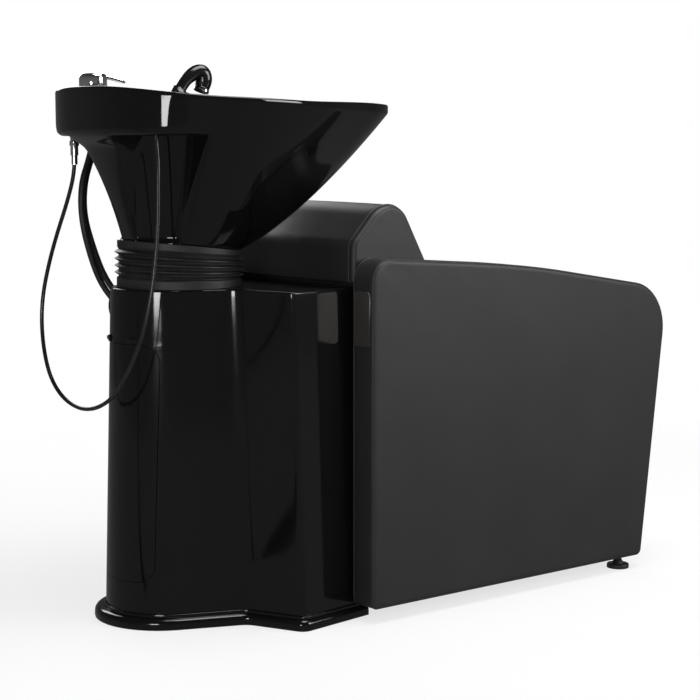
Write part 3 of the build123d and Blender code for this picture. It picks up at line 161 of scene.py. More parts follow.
def periodic_cubic(angles, values, wanted):
    """Periodic cubic through (angle, value) pairs whose slopes and bends meet at each pair."""
    order = np.argsort(angles)
    t, v = np.asarray(angles, float)[order], np.asarray(values, float)[order]
    n = len(t)
    h = np.diff(np.append(t, t[0] + 2 * math.pi))
    slope = (np.roll(v, -1) - v) / h
    m = np.zeros((n, n))
    i = np.arange(n)
    m[i, i] = 2 * (h + np.roll(h, 1))
    m[i, (i + 1) % n] += h
    m[i, (i - 1) % n] += np.roll(h, 1)
    bend = np.linalg.solve(m, 6 * (slope - np.roll(slope, 1)))
    w = (np.asarray(wanted) - t[0]) % (2 * math.pi) + t[0]
    k = np.searchsorted(t, w, side="right") - 1
    a, nxt = w - t[k], (k + 1) % n
    return (v[k] + a * (slope[k] - h[k] * (2 * bend[k] + bend[nxt]) / 6)
            + a ** 2 * bend[k] / 2 + a ** 3 * (bend[nxt] - bend[k]) / (6 * h[k]))


def quadratic(a, b, c, count):
    """Rows after the first along a curve from a to c that is pulled towards b: (1-t)^2 a + 2t(1-t) b + t^2 c."""
    t = np.linspace(0, 1, count)[1:, None, None]
    return (1 - t) ** 2 * a + 2 * t * (1 - t) * b + t ** 2 * c


def rounded_outline(points, radii, arc_count, line_counts):
    """Closed outline with rounded corners: each corner gives the same number of samples along its arc,
    from the tangent point on one side to the one on the other, and each run its own number of samples."""
    p = np.asarray(points, float)
    before, after = p - np.roll(p, 1, 0), np.roll(p, -1, 0) - p
    d0 = before / np.linalg.norm(before, axis=1)[:, None]
    d1 = after / np.linalg.norm(after, axis=1)[:, None]
    turn = np.arctan2(d0[:, 0] * d1[:, 1] - d0[:, 1] * d1[:, 0], (d0 * d1).sum(1))
    r = np.maximum(np.asarray(radii, float), 0.01)
    reach = r * np.abs(np.tan(turn / 2))
    out = []
    for i in range(len(p)):
        normal = (np.sign(turn[i]) or 1.0) * np.array([-d0[i, 1], d0[i, 0]])
        centre, arm = p[i] - d0[i] * reach[i] + normal * r[i], -normal * r[i]
        a = np.linspace(0, turn[i], arc_count)
        arc = np.stack([centre[0] + arm[0] * np.cos(a) - arm[1] * np.sin(a),
                        centre[1] + arm[0] * np.sin(a) + arm[1] * np.cos(a)], 1)
        end = p[(i + 1) % len(p)] - d1[i] * reach[(i + 1) % len(p)]
        s = np.linspace(0, 1, line_counts[i] + 2)[1:-1, None]
        out += [arc, arc[-1] + (end - arc[-1]) * s]
    return np.vstack(out)


def winding(points):
    """One for an outline that runs against the clock, minus one for the other way."""
    x, y = points.T
    return np.sign(np.sum(x * np.roll(y, -1) - np.roll(x, -1) * y))


def moved_outline(points, moves):
    """Outline with its sides moved outwards, all alike or each by its own amount; corners are where the moved
    sides cross."""
    p = np.asarray(points, float)
    d = np.roll(p, -1, 0) - p
    d /= np.linalg.norm(d, axis=1)[:, None]
    normal = np.stack([d[:, 1], -d[:, 0]], 1) * winding(p)
    start = p + normal * np.broadcast_to(moves, len(p))[:, None]
    s0, d0 = np.roll(start, 1, 0), np.roll(d, 1, 0)
    cross = d0[:, 0] * d[:, 1] - d0[:, 1] * d[:, 0]
    gap = start - s0
    t = (gap[:, 0] * d[:, 1] - gap[:, 1] * d[:, 0]) / cross
    return s0 + d0 * t[:, None]


def outline_normals(loop):
    """Outward directions of a closed outline: its tangent turned by a quarter."""
    tangent = np.roll(loop, -1, 0) - np.roll(loop, 1, 0)
    tangent /= np.maximum(np.linalg.norm(tangent, axis=1), 1e-9)[:, None]
    return np.stack([tangent[:, 1], -tangent[:, 0]], 1) * winding(loop)


def tube_grid(path, radii, sides, closed=False):
    """Rings round a path: each ring is the radius times cosine and sine of the turn, on two directions
    square to the path that are carried along it without twist."""
    path = np.asarray(path, float)
    if closed:
        tangent = np.roll(path, -1, 0) - np.roll(path, 1, 0)
    else:
        tangent = np.gradient(path, axis=0)
    tangent /= np.linalg.norm(tangent, axis=1)[:, None]
    first = np.cross(tangent[0], [0.3, 1.0, 0.2])
    carried = [first / np.linalg.norm(first)]
    for t in tangent[1:]:
        v = carried[-1] - t * np.dot(carried[-1], t)
        carried.append(v / np.linalg.norm(v))
    u = np.array(carried)
    w = np.cross(tangent, u)
    a = turns(sides)
    r = np.broadcast_to(np.asarray(radii, float), (len(path),))[:, None, None]
    return path[:, None, :] + r * (u[:, None, :] * np.cos(a)[None, :, None] + w[:, None, :] * np.sin(a)[None, :, None])


def thicken(obj, thickness):
    """Turns a sheet's faces away from the column's axis and gives it its thickness inwards. Its open edges
    turn sharp, so that the rim doesn't shade the faces."""
    count = len(obj.data.polygons)
    centre, normal = np.empty(count * 3), np.empty(count * 3)
    obj.data.polygons.foreach_get("center", centre)
    obj.data.polygons.foreach_get("normal", normal)
    centre, normal = centre.reshape(-1, 3) - [column_x, 0, 0], normal.reshape(-1, 3)
    upright = centre[:, 2] < 0.58
    if (centre[upright, :2] * normal[upright, :2]).sum() < 0:
        obj.data.flip_normals()
    work = bmesh.new()
    work.from_mesh(obj.data)
    for edge in work.edges:
        if edge.is_boundary:
            edge.smooth = False
    work.to_mesh(obj.data)
    work.free()
    thick = obj.modifiers.new("wall_thickness", "SOLIDIFY")
    thick.thickness, thick.offset, thick.use_even_offset = thickness, -1.0, False


def merged_copy(node, name, distance):
    """Copy of a CAD node whose points nearer than a distance are joined."""
    work = bmesh.new()
    work.from_mesh(frame["nodes"][node].data)
    bmesh.ops.remove_doubles(work, verts=work.verts, dist=distance)
    mesh = bpy.data.meshes.new(name)
    work.to_mesh(mesh)
    work.free()
    return new_object(name, mesh)


# ---------------------------------------------------------------- finishes

def add_node(tree, kind, inputs, **settings):
    """Node with its settings, and with its inputs, by number or name, linked or given a value."""
    node = tree.nodes.new("ShaderNode" + kind)
    for label, value in settings.items():
        setattr(node, label, value)
    for label, value in inputs.items():
        if isinstance(value, bpy.types.NodeSocket):
            tree.links.new(value, node.inputs[label])
        else:
            node.inputs[label].default_value = value
    return node


def math_node(tree, operation, *values):
    """Result of one operation on one or two numbers or links."""
    return add_node(tree, "Math", dict(enumerate(values)), operation=operation).outputs[0]


def range_node(tree, value, low, high, new_low, new_high):
    """Value carried straight from one range to another, and held at its ends."""
    return add_node(tree, "MapRange", dict(enumerate((value, low, high, new_low, new_high)))).outputs[0]


def noise_node(tree, vector, scale, detail=3.0, rough=0.55):
    """Value of a noise between 0 and 1."""
    inputs = {"Vector": vector, "Scale": scale, "Detail": detail, "Roughness": rough}
    return add_node(tree, "TexNoise", inputs).outputs[0]


def new_group(name, own_input, outputs):
    """Group that takes a vector and one input of its own, and puts out plain values."""
    group = bpy.data.node_groups.new(name, "ShaderNodeTree")
    group.interface.new_socket(name="Vector", in_out="INPUT", socket_type="NodeSocketVector")
    label, kind, value = own_input
    group.interface.new_socket(name=label, in_out="INPUT", socket_type=kind).default_value = value
    for label in outputs:
        group.interface.new_socket(name=label, in_out="OUTPUT", socket_type="NodeSocketFloat")
    return group, group.nodes.new("NodeGroupInput").outputs


def put_out(group, **results):
    """Links the results to the group's output, and returns the group."""
    end = group.nodes.new("NodeGroupOutput")
    for label, socket in results.items():
        group.links.new(socket, end.inputs[label])
    return group


def build_wear_group():
    """Dust that lies on upward faces and handling smears: masks from two noises and the face's own tilt."""
    group, given = new_group("surface_wear", ("Scale", "NodeSocketFloat", 12.0), ("Dust", "Smears"))
    normal = add_node(group, "NewGeometry", {}).outputs["Normal"]
    up = math_node(group, "MAXIMUM", add_node(group, "SeparateXYZ", {0: normal}).outputs[2], 0.0)
    fine = noise_node(group, given["Vector"], 420.0, 4.0)
    broad = noise_node(group, given["Vector"], given["Scale"], 3.0)
    grains = range_node(group, fine, 0.45, 0.7, 0.0, 1.0)
    patch = range_node(group, broad, 0.35, 0.7, 0.15, 1.0)
    dust = math_node(group, "MULTIPLY", math_node(group, "MULTIPLY", grains, patch), up)
    return put_out(group, Dust=dust, Smears=range_node(group, broad, 0.35, 0.75, 0.0, 1.0))


def build_leather_group():
    """Leather grain: rounded cells with creases between them, crossed by a finer noise, as a height and a mask."""
    group, given = new_group("leather_grain", ("Cells", "NodeSocketFloat", 620.0), ("Height", "Creases", "Tone"))
    place = given["Vector"]
    warp = noise_node(group, place, 160.0, 3.0)
    spread = add_node(group, "CombineXYZ", {0: warp, 1: warp, 2: warp}).outputs[0]
    shift = add_node(group, "VectorMath", {0: spread, 1: (0.003, 0.003, 0.003), 2: place}, operation="MULTIPLY_ADD")
    cells = add_node(group, "TexVoronoi", {"Vector": shift.outputs[0], "Scale": given["Cells"]},
                     feature="DISTANCE_TO_EDGE")
    crease = range_node(group, cells.outputs["Distance"], 0.0, 0.22, 0.0, 1.0)
    pores = noise_node(group, place, 2400.0, 2.0)
    height = math_node(group, "ADD", crease, math_node(group, "MULTIPLY", pores, 0.35))
    return put_out(group, Height=height, Creases=crease, Tone=noise_node(group, place, 9.0, 4.0))


def build_scratch_group():
    """Fine brushed lines: a noise drawn out long in one direction, as a height and a mask."""
    group, given = new_group("fine_scratches", ("Stretch", "NodeSocketVector", (1.0, 1.0, 1.0)), ("Height", "Mask"))
    scaled = add_node(group, "VectorMath", {0: given["Vector"], 1: given["Stretch"]}, operation="MULTIPLY")
    lines = noise_node(group, scaled.outputs[0], 1.0, 4.0, 0.6)
    return put_out(group, Height=lines, Mask=range_node(group, lines, 0.45, 0.7, 0.0, 1.0))


wear_group = build_wear_group()
leather_group = build_leather_group()
scratch_group = build_scratch_group()


class Finish:
    """One material: its Principled shader, its object coordinates and short ways to add groups to it."""

    def __init__(self, name, colour, roughness, metallic=0.0, **sockets):
        self.material = bpy.data.materials.new(name)
        self.material.use_nodes = True
        self.tree = self.material.node_tree
        self.shader = self.tree.nodes["Principled BSDF"]
        self.colour = (*colour, 1.0)
        sockets.update(Base_Color=self.colour, Roughness=roughness, Metallic=metallic)
        for label, value in sockets.items():
            self.shader.inputs[label.replace("_", " ")].default_value = value
        coordinates = self.tree.nodes.new("ShaderNodeTexCoord")
        self.place, self.uv = coordinates.outputs["Object"], coordinates.outputs["UV"]
        self.normal = None

    def group(self, tree, **values):
        return add_node(self.tree, "Group", {"Vector": self.place, **values}, node_tree=tree).outputs

    def bump(self, height, strength, distance):
        inputs = {"Strength": strength, "Distance": distance, "Height": height}
        if self.normal:
            inputs["Normal"] = self.normal
        self.normal = add_node(self.tree, "Bump", inputs).outputs[0]
        self.tree.links.new(self.normal, self.shader.inputs["Normal"])

    def tint(self, mask, colour, share=1.0):
        """Base colour moves from the finish's own to another where the mask is high."""
        factor = range_node(self.tree, mask, 0.0, 1.0, 0.0, share)
        mix = add_node(self.tree, "Mix", {0: factor, 6: self.colour, 7: (*colour, 1.0)}, data_type="RGBA")
        self.tree.links.new(mix.outputs[2], self.shader.inputs["Base Color"])

    def vary_roughness(self, mask, low, high):
        self.tree.links.new(range_node(self.tree, mask, 0.0, 1.0, low, high), self.shader.inputs["Roughness"])

    def noise(self, scale, detail=3.0):
        return noise_node(self.tree, self.place, scale, detail)


def glossy_black(name, colour, rough, ripple, dust):
    """Gloss black: slow ripple of a moulded or glazed face, smears in the gloss and a little dust on top."""
    f = Finish(name, colour, rough, IOR=1.5)
    wear = f.group(wear_group, Scale=9.0)
    f.vary_roughness(wear["Smears"], rough, rough + 0.06)
    f.tint(wear["Dust"], (0.1, 0.1, 0.1), dust)
    f.bump(f.noise(14.0, 2.0), 0.25, ripple)
    f.bump(f.noise(900.0, 1.0), 0.05, 0.0001)
    return f.material


def leather():
    """Black leather: two close tones, creases that shine more, a slow ripple and the grain."""
    f = Finish("black_leather", (0.0125, 0.0125, 0.0135), 0.42, IOR=1.5)
    grain = f.group(leather_group, Cells=560.0)
    f.tint(grain["Tone"], (0.02, 0.02, 0.0215))
    f.vary_roughness(grain["Creases"], 0.52, 0.4)
    f.bump(f.noise(22.0, 3.0), 0.35, 0.0012)
    f.bump(grain["Height"], 0.35, 0.00025)
    return f.material


def metal(name, colour, rough, stretch, depth, spread=0.06):
    """Metal with fine lines drawn out by a stretch."""
    f = Finish(name, colour, rough, 1.0)
    lines = f.group(scratch_group, Stretch=stretch)
    f.vary_roughness(lines["Mask"], rough, rough + spread)
    f.bump(lines["Height"], 0.3, depth)
    return f.material


def matt(name, colour, rough, other, scale, depth):
    """Painted, moulded or rubber face: two close tones and a little more roughness where a broad noise is high, and a
    fine bump.
    """
    f = Finish(name, colour, rough)
    wear = f.group(wear_group, Scale=14.0)
    f.tint(wear["Smears"], other)
    f.vary_roughness(wear["Smears"], rough, rough + 0.1)
    f.bump(f.noise(scale, 3.0), 0.4, depth)
    return f.material


def stained_ply():
    """Black-stained plywood: long grain from a stretched noise that shows a little browner."""
    f = Finish("stained_ply", (0.014, 0.012, 0.011), 0.62)
    lines = f.group(scratch_group, Stretch=(4.0, 180.0, 180.0))
    f.tint(lines["Mask"], (0.03, 0.024, 0.02), 0.8)
    f.bump(lines["Height"], 0.3, 0.0003)
    return f.material


def hose_finish(name, across, along, depth):
    """Hose cover: on the tube's own map, crossed waves along and round it make a close weave."""
    f = Finish(name, (0.012, 0.012, 0.013), 0.34)
    split = add_node(f.tree, "SeparateXYZ", {0: f.uv}).outputs
    a = math_node(f.tree, "SINE", math_node(f.tree, "MULTIPLY", split[0], across))
    b = math_node(f.tree, "SINE", math_node(f.tree, "MULTIPLY", split[1], along))
    f.bump(math_node(f.tree, "MULTIPLY", a, b), 0.4, depth)
    f.vary_roughness(f.noise(60.0), 0.3, 0.42)
    return f.material


finishes = {
    "gloss_shell": glossy_black("gloss_black_plastic", (0.0035, 0.0035, 0.004), 0.07, 0.0007, 0.06),
    "basin_ceramic": glossy_black("black_glaze", (0.0028, 0.0028, 0.003), 0.035, 0.0005, 0.05),
    "black_plastic": glossy_black("black_trim_plastic", (0.006, 0.006, 0.0065), 0.14, 0.0002, 0.08),
    "chrome_trim": metal("polished_chrome", (0.82, 0.83, 0.85), 0.05, (300.0, 300.0, 300.0), 0.00002, 0.03),
    "brass_fitting": metal("turned_brass", (0.72, 0.54, 0.27), 0.24, (400.0, 400.0, 2500.0), 0.00008),
    "bright_steel": metal("turned_steel", (0.62, 0.63, 0.65), 0.22, (400.0, 400.0, 2500.0), 0.00006),
    "zinc_screws": metal("zinc_plate", (0.58, 0.59, 0.6), 0.33, (900.0, 900.0, 900.0), 0.00006),
    "satin_plate": metal("satin_grey_plate", (0.42, 0.4, 0.37), 0.4, (60.0, 1600.0, 40.0), 0.0001, 0.12),
    "gaiter_rubber": matt("gaiter_rubber", (0.012, 0.012, 0.0125), 0.46, (0.022, 0.022, 0.023), 700.0, 0.0002),
    "collar_ring": glossy_black("black_collar", (0.006, 0.006, 0.0065), 0.12, 0.0002, 0.08),
    "foot_plastic": matt("foot_plastic", (0.016, 0.016, 0.017), 0.42, (0.028, 0.028, 0.03), 500.0, 0.0002),
    "frame_steel": matt("powder_coat", (0.07, 0.073, 0.078), 0.5, (0.1, 0.104, 0.11), 1400.0, 0.0002),
    "bearing_plastic": matt("bearing_plastic", (0.7, 0.69, 0.65), 0.45, (0.62, 0.6, 0.55), 300.0, 0.0001),
    "board_wood": stained_ply(),
    "upholstery": leather(),
    "hose_black": hose_finish("braided_hose", 44.0, 2600.0, 0.0002),
}
smooth_hose = matt("smooth_hose", (0.011, 0.011, 0.012), 0.22, (0.016, 0.016, 0.017), 300.0, 0.0001)

for part in frame["record"]["subparts"]:
    holder = frame["nodes"][part["node"]]
    finish = finishes[part["material_slot"]]
    if not holder.material_slots:
        holder.data.materials.append(finish)
    for material_slot in holder.material_slots:
        material_slot.material = finish


# ---------------------------------------------------------------- basin

rim_shares = np.array([(0.0, 0.0), (0.005, 0.264), (0.033, 0.53), (0.103, 0.77), (0.225, 0.93), (0.383, 1.0),
                       (0.537, 0.966), (0.69, 0.872), (0.84, 0.735), (0.945, 0.615), (0.99, 0.48), (1.0, 0.25),
                       (1.0, 0.0)])
bowl_shares = np.array([(0.0, 0.0), (0.009, 0.277), (0.046, 0.553), (0.142, 0.787), (0.263, 0.916), (0.405, 0.898),
                        (0.602, 0.798), (0.777, 0.677), (0.897, 0.572), (0.952, 0.44), (0.969, 0.23), (0.969, 0.0)])
basin_rear, basin_length, basin_half, bowl_rear = -165.0, 587.0, 235.0, -35.0
rim_z, rim_fall, collar_z, collar_fall = 925.2, 0.035, 667.5, 0.1104
skirt_z, bowl_floor = 861.0, 705.0
neck_radius, recess_radius, recess_z = 107.0, 82.0, 690.0
well, well_radius, drain_radius = np.array([40.0, 0.0]), 52.0, 24.0


def polar_outline(shares, rear, length, centre, theta):
    """Distance of an outline from a centre in each direction, a periodic cubic through its points."""
    half = np.stack([rear + shares[:, 0] * length, shares[:, 1] * basin_half], 1)
    both = np.vstack([half, half[1:-1] * [1, -1]])
    angle = np.arctan2(both[:, 1] - centre[1], both[:, 0] - centre[0])
    return periodic_cubic(angle, np.hypot(both[:, 0] - centre[0], both[:, 1] - centre[1]), theta)


def deck_height(x, y):
    """Deck plane that sweeps up a little to the rear and at the front, cut by the neck's round channel: its
    height is the channel's centre less the root of r2 - y2."""
    rear_sweep = 14.0 * np.clip((pivot[0] - x) / 194.0, 0, 1.1) ** 3.2
    plane = rim_z - rim_fall * (x - pivot[0]) + rear_sweep + 6.5 * smooth_step((x - 130) / 230)
    inside = np.maximum(105.0 ** 2 - np.minimum(np.abs(y), 104.9) ** 2, 0)
    channel = 970.2 - np.sqrt(inside) + 400 * smooth_step((246 - x) / 30) + np.where(np.abs(y) > 104.9, 200, 0)
    return smooth_min(plane, channel, 5.0)


def basin_wall(theta, z, rim):
    """Outer radius of the basin at a height, without its niches and with them. In front it is the flare from
    neck to rim. At the rear it is an upright skirt over a cove, carved away either side of a spine down to a
    cone about the neck."""
    c, s = np.cos(theta), np.sin(theta)
    side = smooth_step((130 - np.abs(np.degrees(theta))) / 60)
    front = smooth_step((pivot[0] + rim * c + 110) / 90)
    radius = np.full_like(z, 150.0)
    for _ in range(4):
        out = radius * c
        low, high = collar_z - collar_fall * out, rim_z - rim_fall * out - 9 * front
        t = np.clip((z - low) / (high - low), 0, 1)
        share = t ** 1.05 + (t ** 0.8 - t ** 1.05) * side
        radius = neck_radius * (1 - share) + rim * share
    under = skirt_z + 3 - z
    cove = rim - 0.8 * (under + np.sqrt(under ** 2 + 36))
    outer = np.minimum(smooth_max(radius, cove, 8.0), rim) * (1 - front) + radius * front
    spine = 22.5 + 48.0 * np.clip((z - 700) / 161, 0, 1) ** 2.3
    carve = smooth_max(56.0 / np.maximum(-c, 1e-3), spine / np.maximum(np.abs(s), 1e-3), 12.0)
    core = 98.0 + 42.0 * (z - collar_z) / (rim_z - collar_z)
    carved = np.minimum(smooth_max(core, smooth_min(outer, carve, 9.0), 4.0), outer)
    niches = smooth_step((z - 672) / 14) * (c < -0.05)
    return outer, outer + (carved - outer) * niches


def basin_grid():
    """Closed ring of rows by direction about the neck: hole, recess, neck, outer wall, ledge, skirt, deck,
    bowl and floor. Each row is a radius and a height for every direction."""
    fine = np.radians(np.concatenate([np.arange(-100, 100, 1.25), np.arange(100, 260, 0.4)]))
    theta = (fine + math.pi) % (2 * math.pi) - math.pi
    c, s = np.cos(theta), np.sin(theta)
    rim = polar_outline(rim_shares, basin_rear, basin_length, pivot, theta)
    bowl_rim = polar_outline(bowl_shares, bowl_rear, basin_length + basin_rear - bowl_rear, well, theta)

    def around(centre, radius, z):
        """Row at a radius about a centre, and at one height or one for each direction."""
        return np.stack([centre[0] + radius * c, centre[1] + radius * s, np.broadcast_to(z, theta.shape)], -1)

    def collar(radius):
        """Height of the neck's leaning foot at a radius."""
        return collar_z - collar_fall * radius * c

    rows = [around(well, drain_radius, bowl_floor - 4), around(well, drain_radius, recess_z),
            around(pivot, recess_radius, recess_z), around(pivot, recess_radius, collar(recess_radius)),
            around(pivot, neck_radius - 1.5, collar(neck_radius - 1.5))]
    top = deck_height(pivot[0] + rim * c, rim * s)
    for _ in range(6):
        radius, _ = basin_wall(theta, top, rim)
        top = deck_height(pivot[0] + radius * c, radius * s)
    low, high = collar(neck_radius) + 1.5, np.minimum(skirt_z, top - 9)
    for f in np.linspace(0, 1, 74):
        z = low + (high - low) * f
        rows.append(around(pivot, basin_wall(theta, z - 0.001, rim)[1], z))
    inner = np.linalg.norm(rows[-1][:, :2] - pivot, axis=1)
    outer = np.maximum(basin_wall(theta, high + 0.01, rim)[0], inner)
    lip = np.minimum(8.0, (outer - inner) * 0.4)
    for f in (0.06, 0.2, 0.4, 0.6, 0.8, 0.95):
        rows.append(around(pivot, inner + (outer - inner - lip) * f, high))
    skirt_foot = high + lip * 0.9
    rows += list(quadratic(around(pivot, outer - lip, high), around(pivot, outer, high),
                           around(pivot, basin_wall(theta, skirt_foot, rim)[0], skirt_foot), 7))
    for f in np.linspace(0.07, 1, 16):
        z = skirt_foot + (top - 4 - skirt_foot) * f
        rows.append(around(pivot, basin_wall(theta, z, rim)[0], z))

    def bowl_point(q):
        """Bowl's wall at a share of its height: it opens by the share to the power 0.6."""
        radius = well_radius * (1 - q ** 0.6) + bowl_rim * q ** 0.6
        x, y = well[0] + radius * c, radius * s
        return x, y, bowl_floor + (rim_z - rim_fall * (x - pivot[0]) - bowl_floor) * q

    q_low, q = np.full_like(theta, 0.3), np.ones_like(theta)
    for _ in range(26):
        middle = (q_low + q) / 2
        x, y, z = bowl_point(middle)
        over = z > deck_height(x, y)
        q, q_low = np.where(over, middle, q), np.where(over, q_low, middle)

    def on_deck(point):
        """Row put on the deck's surface."""
        return np.stack([point[:, 0], point[:, 1], deck_height(point[:, 0], point[:, 1])], -1)

    lip_in = on_deck(np.stack(bowl_point(q), -1))
    rim_out = around(pivot, basin_wall(theta, top, rim)[0], top)
    across = np.linalg.norm((lip_in - rim_out)[:, :2], axis=1)
    direction = (lip_in - rim_out) / across[:, None]
    deck_start = on_deck(rim_out + direction * np.minimum(4.0, across * 0.35)[:, None])
    deck_end = on_deck(lip_in - direction * np.minimum(7.0, across * 0.4)[:, None])
    rows += list(quadratic(rows[-1], rim_out, deck_start, 6))
    rows += [on_deck(deck_start + (deck_end - deck_start) * f) for f in np.linspace(0, 1, 13)[1:]]
    q_wall = q - np.minimum(9.0 / 220.0, q * 0.2)
    rows += list(quadratic(rows[-1], lip_in, np.stack(bowl_point(q_wall), -1), 7))
    rows += [np.stack(bowl_point(q_wall * (1 - f) ** 1.3), -1) for f in np.linspace(0, 1, 46)[1:]]
    rows += [around(well, well_radius + (drain_radius - well_radius) * f, bowl_floor - 4 * f ** 2)
             for f in (0.3, 0.65, 1.0)]
    return np.array(rows)


basin_shell = grid_piece("basin_shell", basin_grid(), wrap_rows=True, smooth_angle=38.0, merge=0.00002)
add_piece(basin_shell, "basin", "basin_ceramic", ["basin"])


# ---------------------------------------------------------------- pedestal

flank_lean = math.radians(21.8)
wall_low, wall_high = 20.0, 595.0
door_low, door_high, door_half, door_corner = 79.0, 500.0, 80.0, 30.0
arc_half, arc_rest, corner_samples = 40, 8, 12


def at_height(loop, z):
    """Points of a plan loop at one height."""
    return np.column_stack([loop, np.full(len(loop), z)])


def rear_radius(share):
    """Radius of the pedestal's round rear between its foot (0) and its top (1)."""
    return 115.0 - 17.0 * share


def plan_corners(share):
    """Corners of the pedestal's plan and their radii between its foot (0) and its top (1), from the apex of the
    two leaning rear sides round by -Y."""
    radius = rear_radius(share)
    apex, bend, end = -radius / math.sin(flank_lean), 66.0 - 4.0 * share, 236.0 - 10.0 * share
    corner_x, corner_y = 118.0 - 20.0 * share, 256.0 - 6.0 * share
    side = (bend - apex) * math.tan(flank_lean)
    points = [(apex, 0), (bend, -side), (corner_x, -corner_y), (262, -end), (262, end), (corner_x, corner_y),
              (bend, side)]
    return points, np.array([radius, 45, 9, 0.5, 0.5, 9, 45])


def door_half_width(z, gap=0.0):
    """Half width of the rounded door opening at a height: straight sides and round corners."""
    low, high, corner, half = door_low + gap, door_high - gap, door_corner - gap, door_half - gap
    into = np.maximum(np.maximum(low + corner - z, z - (high - corner)), 0)
    return half - corner + np.sqrt(np.maximum(corner ** 2 - into ** 2, 0))


def door_heights(gap, count):
    """Heights of the door's rows: every nine degrees round its corners, and even between them."""
    steps = (door_corner - gap) * (1 - np.cos(np.radians(np.arange(0, 91, 9))))
    return np.unique(np.round(np.concatenate([door_low + gap + steps, np.linspace(109, 470, count),
                                              door_high - gap - steps]), 3))


def door_turns(z, radius, gap, count):
    """Even turns across the door on the rear's arc at one height, from edge to edge."""
    inside = np.clip(z, door_low + gap + 0.001, door_high - gap - 0.001)
    edge = math.asin(min(float(door_half_width(inside, gap)) / radius, 0.99))
    return np.linspace(-edge, edge, count)


def rear_arc(radius, turn):
    """Points of the pedestal's round rear in directions from -X."""
    return radius * np.stack([-np.cos(turn), -np.sin(turn)], 1)


def wall_loop(z, grow=0.0):
    """Plan loop at one height. On the rear's arc the middle columns keep to the door opening's edges."""
    points, radii = plan_corners((z - wall_low) / (wall_high - wall_low))
    radius = radii[0] + grow
    radii = np.maximum(radii + grow * np.array([1, -1, 1, -1, -1, 1, -1]), 0.5)
    loop = rounded_outline(moved_outline(points, grow), radii, corner_samples, [16, 14, 12, 14, 12, 14, 16])
    inside = door_turns(z, radius, 0.0, 2 * arc_half + 1)
    outside = np.linspace(inside[-1], math.pi / 2 - flank_lean, arc_rest + 1)[1:]
    turn = np.concatenate([-outside[::-1], inside, outside])
    return np.vstack([rear_arc(radius, turn), loop[corner_samples:]])


def pedestal_wall():
    """Wall rows from foot to top, a rounded top edge and the closed top in to its hole; faces of the door
    opening and of the open front are left out, and the sheet gets its thickness inwards."""
    heights = np.concatenate([np.linspace(wall_low, door_low, 7)[:-1], door_heights(0.0, 28),
                              np.linspace(door_high, 592, 10)[1:]])
    rows = [at_height(wall_loop(z), z) for z in heights]
    edge, inset = (at_height(wall_loop(wall_high, grow), wall_high) for grow in (0.0, -3.0))
    rows += list(quadratic(rows[-1], edge, inset, 5))
    angle = np.arctan2(inset[:, 1], inset[:, 0] - pivot[0])
    hole = at_height(np.stack([pivot[0] + 92 * np.cos(angle), 92 * np.sin(angle)], 1), wall_high)
    rows += [inset + (hole - inset) * f for f in (0.2, 0.45, 0.7, 0.9, 1.0)]
    grid = np.array(rows)
    columns = grid.shape[1]
    quads = grid_quads(len(rows), columns, False, True)
    centre = grid.reshape(-1, 3)[quads].mean(1)
    column = quads[:, 0] % columns
    door = (column >= arc_rest) & (column < arc_rest + 2 * arc_half)
    door &= (centre[:, 2] > door_low) & (centre[:, 2] < door_high)
    window = (centre[:, 0] > 261.5) & (np.abs(centre[:, 1]) < 185) & (centre[:, 2] < 545)
    obj = make_object("pedestal_cover", to_frame(grid.reshape(-1, 3)), quads[~(door | window)][:, ::-1],
                      smooth_angle=50.0, outwards=False, merge=0.00001)
    thicken(obj, 0.004)
    return add_piece(obj, "root", "gloss_shell", ["pedestal_shell"])


def make_door():
    """Curved door: the rear wall's own surface inside the opening less a fine gap, with a thin skin inwards."""
    gap, rows = 0.8, []
    for z in door_heights(gap, 24):
        radius = rear_radius((z - wall_low) / (wall_high - wall_low))
        rows.append(at_height(rear_arc(radius, door_turns(z, radius, gap, 61)), z))
    obj = grid_piece("door_panel", np.array(rows), wrap_columns=False, smooth_angle=60.0, outwards=False)
    thicken(obj, 0.0022)
    return add_piece(obj, "service_door", "gloss_shell", ["service_door"])


def make_flange():
    """Moulded foot: a profile of an upright apron with a round shoulder, a step and a small bead, carried
    round the plan; each profile point is an inward distance, or a share of the step, and a height."""
    points, _ = plan_corners(0.0)

    def loop(moves, radii):
        return rounded_outline(moved_outline(points, moves), radii, 18, [22, 16, 14, 20, 14, 16, 22])

    apron = loop([15, 12, 9.5, 9.5, 9.5, 12, 15], [126, 33, 21, 3, 3, 21, 33])
    bead = loop(3.5, [118.5, 41.5, 12.5, 1, 1, 12.5, 41.5])
    underside = loop(-15, [100, 60, 1, 1, 1, 1, 60])
    shoulder = [(11 * (1 - math.cos(t)), 9 + 11 * math.sin(t)) for t in np.radians([12, 26, 40, 54, 68, 80])]
    outward, inward = outline_normals(apron), outline_normals(bead)
    crest = apron - outward * 11
    rows = [at_height(apron - outward * inset, z)
            for inset, z in [(1.2, 0.0), (0.3, 0.4), (0.0, 1.4), (0.0, 5.0), (0.0, 9.0)] + shoulder]
    rows += [at_height(crest + (bead - crest) * f, z)
             for f, z in ((0.25, 20.0), (0.8, 20.0), (0.96, 20.2), (1.0, 21.2), (1.0, 24.0))]
    rows += [at_height(bead - inward * inset, z) for inset, z in ((0.5, 24.8), (1.5, 25.0), (2.9, 24.6), (3.1, 20.0))]
    rows += [at_height(underside, 19.0), at_height(underside, 0.0)]
    obj = grid_piece("foot_flange", np.array(rows), wrap_rows=True, smooth_angle=50.0)
    return add_piece(obj, "root", "gloss_shell", ["base_flange"])


